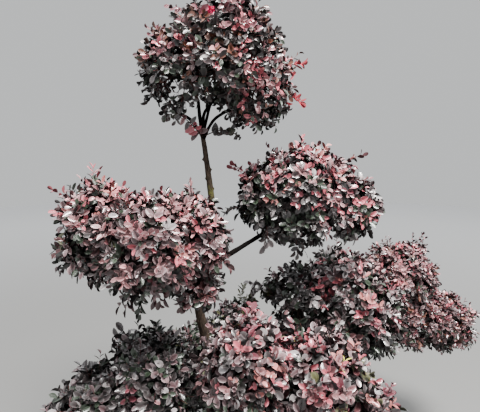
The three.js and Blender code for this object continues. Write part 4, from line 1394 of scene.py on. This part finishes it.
def make_blossom():
    """The tuft: flowers spread over a small ball, and petals that leave each one crosswise and curl back."""
    petal, _, shader = new_material("crimson petal")
    feed(shader, {"Base Color": PETAL_TONE, "Roughness": 0.6})
    facing = spread_directions(FLOWERS, 0.4).repeat(PETALS_EACH, axis=0)
    k = np.arange(len(facing))
    first = unit(np.cross(facing, np.array([[0.3, 0.5, 0.8]])))
    turn = (k * np.pi / 2 + chance(k // PETALS_EACH, 0.7))[:, None]
    side = np.cos(turn) * first + np.sin(turn) * np.cross(facing, first)
    lean, size, curl = (
        least + spread * chance(k, own)
        for (least, spread), own in ((PETAL_LEAN, 0.2), (PETAL_SIZES, 0.9), (PETAL_CURLS, 0.5))
    )
    along = unit(side + lean[:, None] * facing)
    upper = square_to(facing, along)
    lengths = PETAL_LENGTH * size
    fold, arch = np.zeros(len(k)), PETAL_CURL * curl
    roots = BLOSSOM_PLACE + facing * FLOWER_SPREAD
    corners, faces, _ = leaf_blades(roots, along, upper, lengths, PETAL_HALF_WIDTH, fold, arch)
    dress("top_blossom", corners, faces, [petal], ["foliage_top"])


make_blossom()

# The stage: a plain pale floor under soft daylight and an overcast sky, and the camera at chest height,
# tipped down a little.
FLOOR_RADIUS = 9.0
FLOOR_CORNERS = 96
FLOOR_FADE = (1.5, 7.0)
# The near tone is painted shade round the plant, the far one the pale floor where it meets the sky.
FLOOR_SHADE_TONES = (colour(100, 100, 99), colour(151, 152, 153))
# A lamp is its place, the point that it faces, its side, its watts and its tone.
LAMPS = {
    "daylight": ((1.3, -1.7, 5.0), (0.1, 0, 1.0), 1.5, 1300, (1.0, 0.985, 0.95)),
    "fill": ((3.2, -2.4, 2.2), (0.1, 0, 0.9), 2.6, 10, (0.96, 0.98, 1.0)),
    "rear light": ((0.5, 3.4, 3.6), (0.1, 0, 0.9), 3.0, 50, (0.98, 0.99, 1.0)),
}
CAMERA_PLACE = (0.06, -1.28, 1.35)
CAMERA_PITCH = math.radians(90 - 8.53)
SENSOR_WIDTH = 36.0
PHOTO_WIDTH = 480
FOCAL_PIXELS = 420
SKY_RISE = (0.38, 0.85)
SKY_TONES = ((0.68, 0.695, 0.7, 1.0), (2.4, 2.43, 2.48, 1.0))


def make_floor():
    """A disc of pale floor: a fan of corners on a circle round its middle. It is painted darker round the
    plant, as shade that holds down the lamps' pool of light there, and paler further out, where it meets the
    sky."""
    turn = even_turns(FLOOR_CORNERS)
    ring = np.stack([np.cos(turn), np.sin(turn), 0 * turn], axis=1) * FLOOR_RADIUS
    mesh = bpy.data.meshes.new("floor")
    mesh.from_pydata(ring.tolist(), [], [list(range(len(ring)))])
    material, tree, shader = new_material("pale floor")
    place = add_node(tree, "TexCoord", {}).outputs["Object"]
    away = add_node(tree, "VectorMath", {0: place}, operation="LENGTH").outputs["Value"]
    fade = share_between(tree, away, *FLOOR_FADE, "SMOOTHSTEP")
    feed(shader, {"Base Color": blended(tree, fade, *FLOOR_SHADE_TONES), "Roughness": 0.9})
    mesh.materials.append(material)
    new_object("floor", mesh)


def make_lamp(name, place, aim, size, watts, tone):
    """A square soft light at a place, turned to face a point."""
    lamp = bpy.data.lights.new(name, "AREA")
    lamp.shape = "SQUARE"
    lamp.size = size
    lamp.energy = watts
    lamp.color = tone
    holder = new_object(name, lamp)
    holder.location = place
    across, away, up = np.array(aim) - np.array(place)
    tip = math.atan2(math.hypot(across, away), -up)
    holder.rotation_euler = (tip, 0, math.atan2(away, across) - math.pi / 2)


def make_camera():
    """The camera, its lens worked out from the focal length in pixels of a frame as wide as the
    photograph."""
    camera = bpy.data.cameras.new("camera")
    camera.sensor_width = SENSOR_WIDTH
    camera.lens = FOCAL_PIXELS / PHOTO_WIDTH * SENSOR_WIDTH
    holder = new_object("camera", camera)
    holder.location = CAMERA_PLACE
    holder.rotation_euler = (CAMERA_PITCH, 0, 0)
    bpy.context.scene.camera = holder


def make_sky():
    """A soft overcast sky: pale grey round the horizon, brighter overhead."""
    world = bpy.data.worlds.new("sky")
    world.use_nodes = True
    tree = world.node_tree
    place = add_node(tree, "TexCoord", {}).outputs["Generated"]
    height = add_node(tree, "SeparateXYZ", {"Vector": place}).outputs["Z"]
    rise = share_between(tree, height, *SKY_RISE)
    feed(tree.nodes["Background"], {"Color": blended(tree, rise, *SKY_TONES)})
    bpy.context.scene.world = world


make_floor()
for name, settings in LAMPS.items():
    make_lamp(name, *settings)
make_camera()
make_sky()
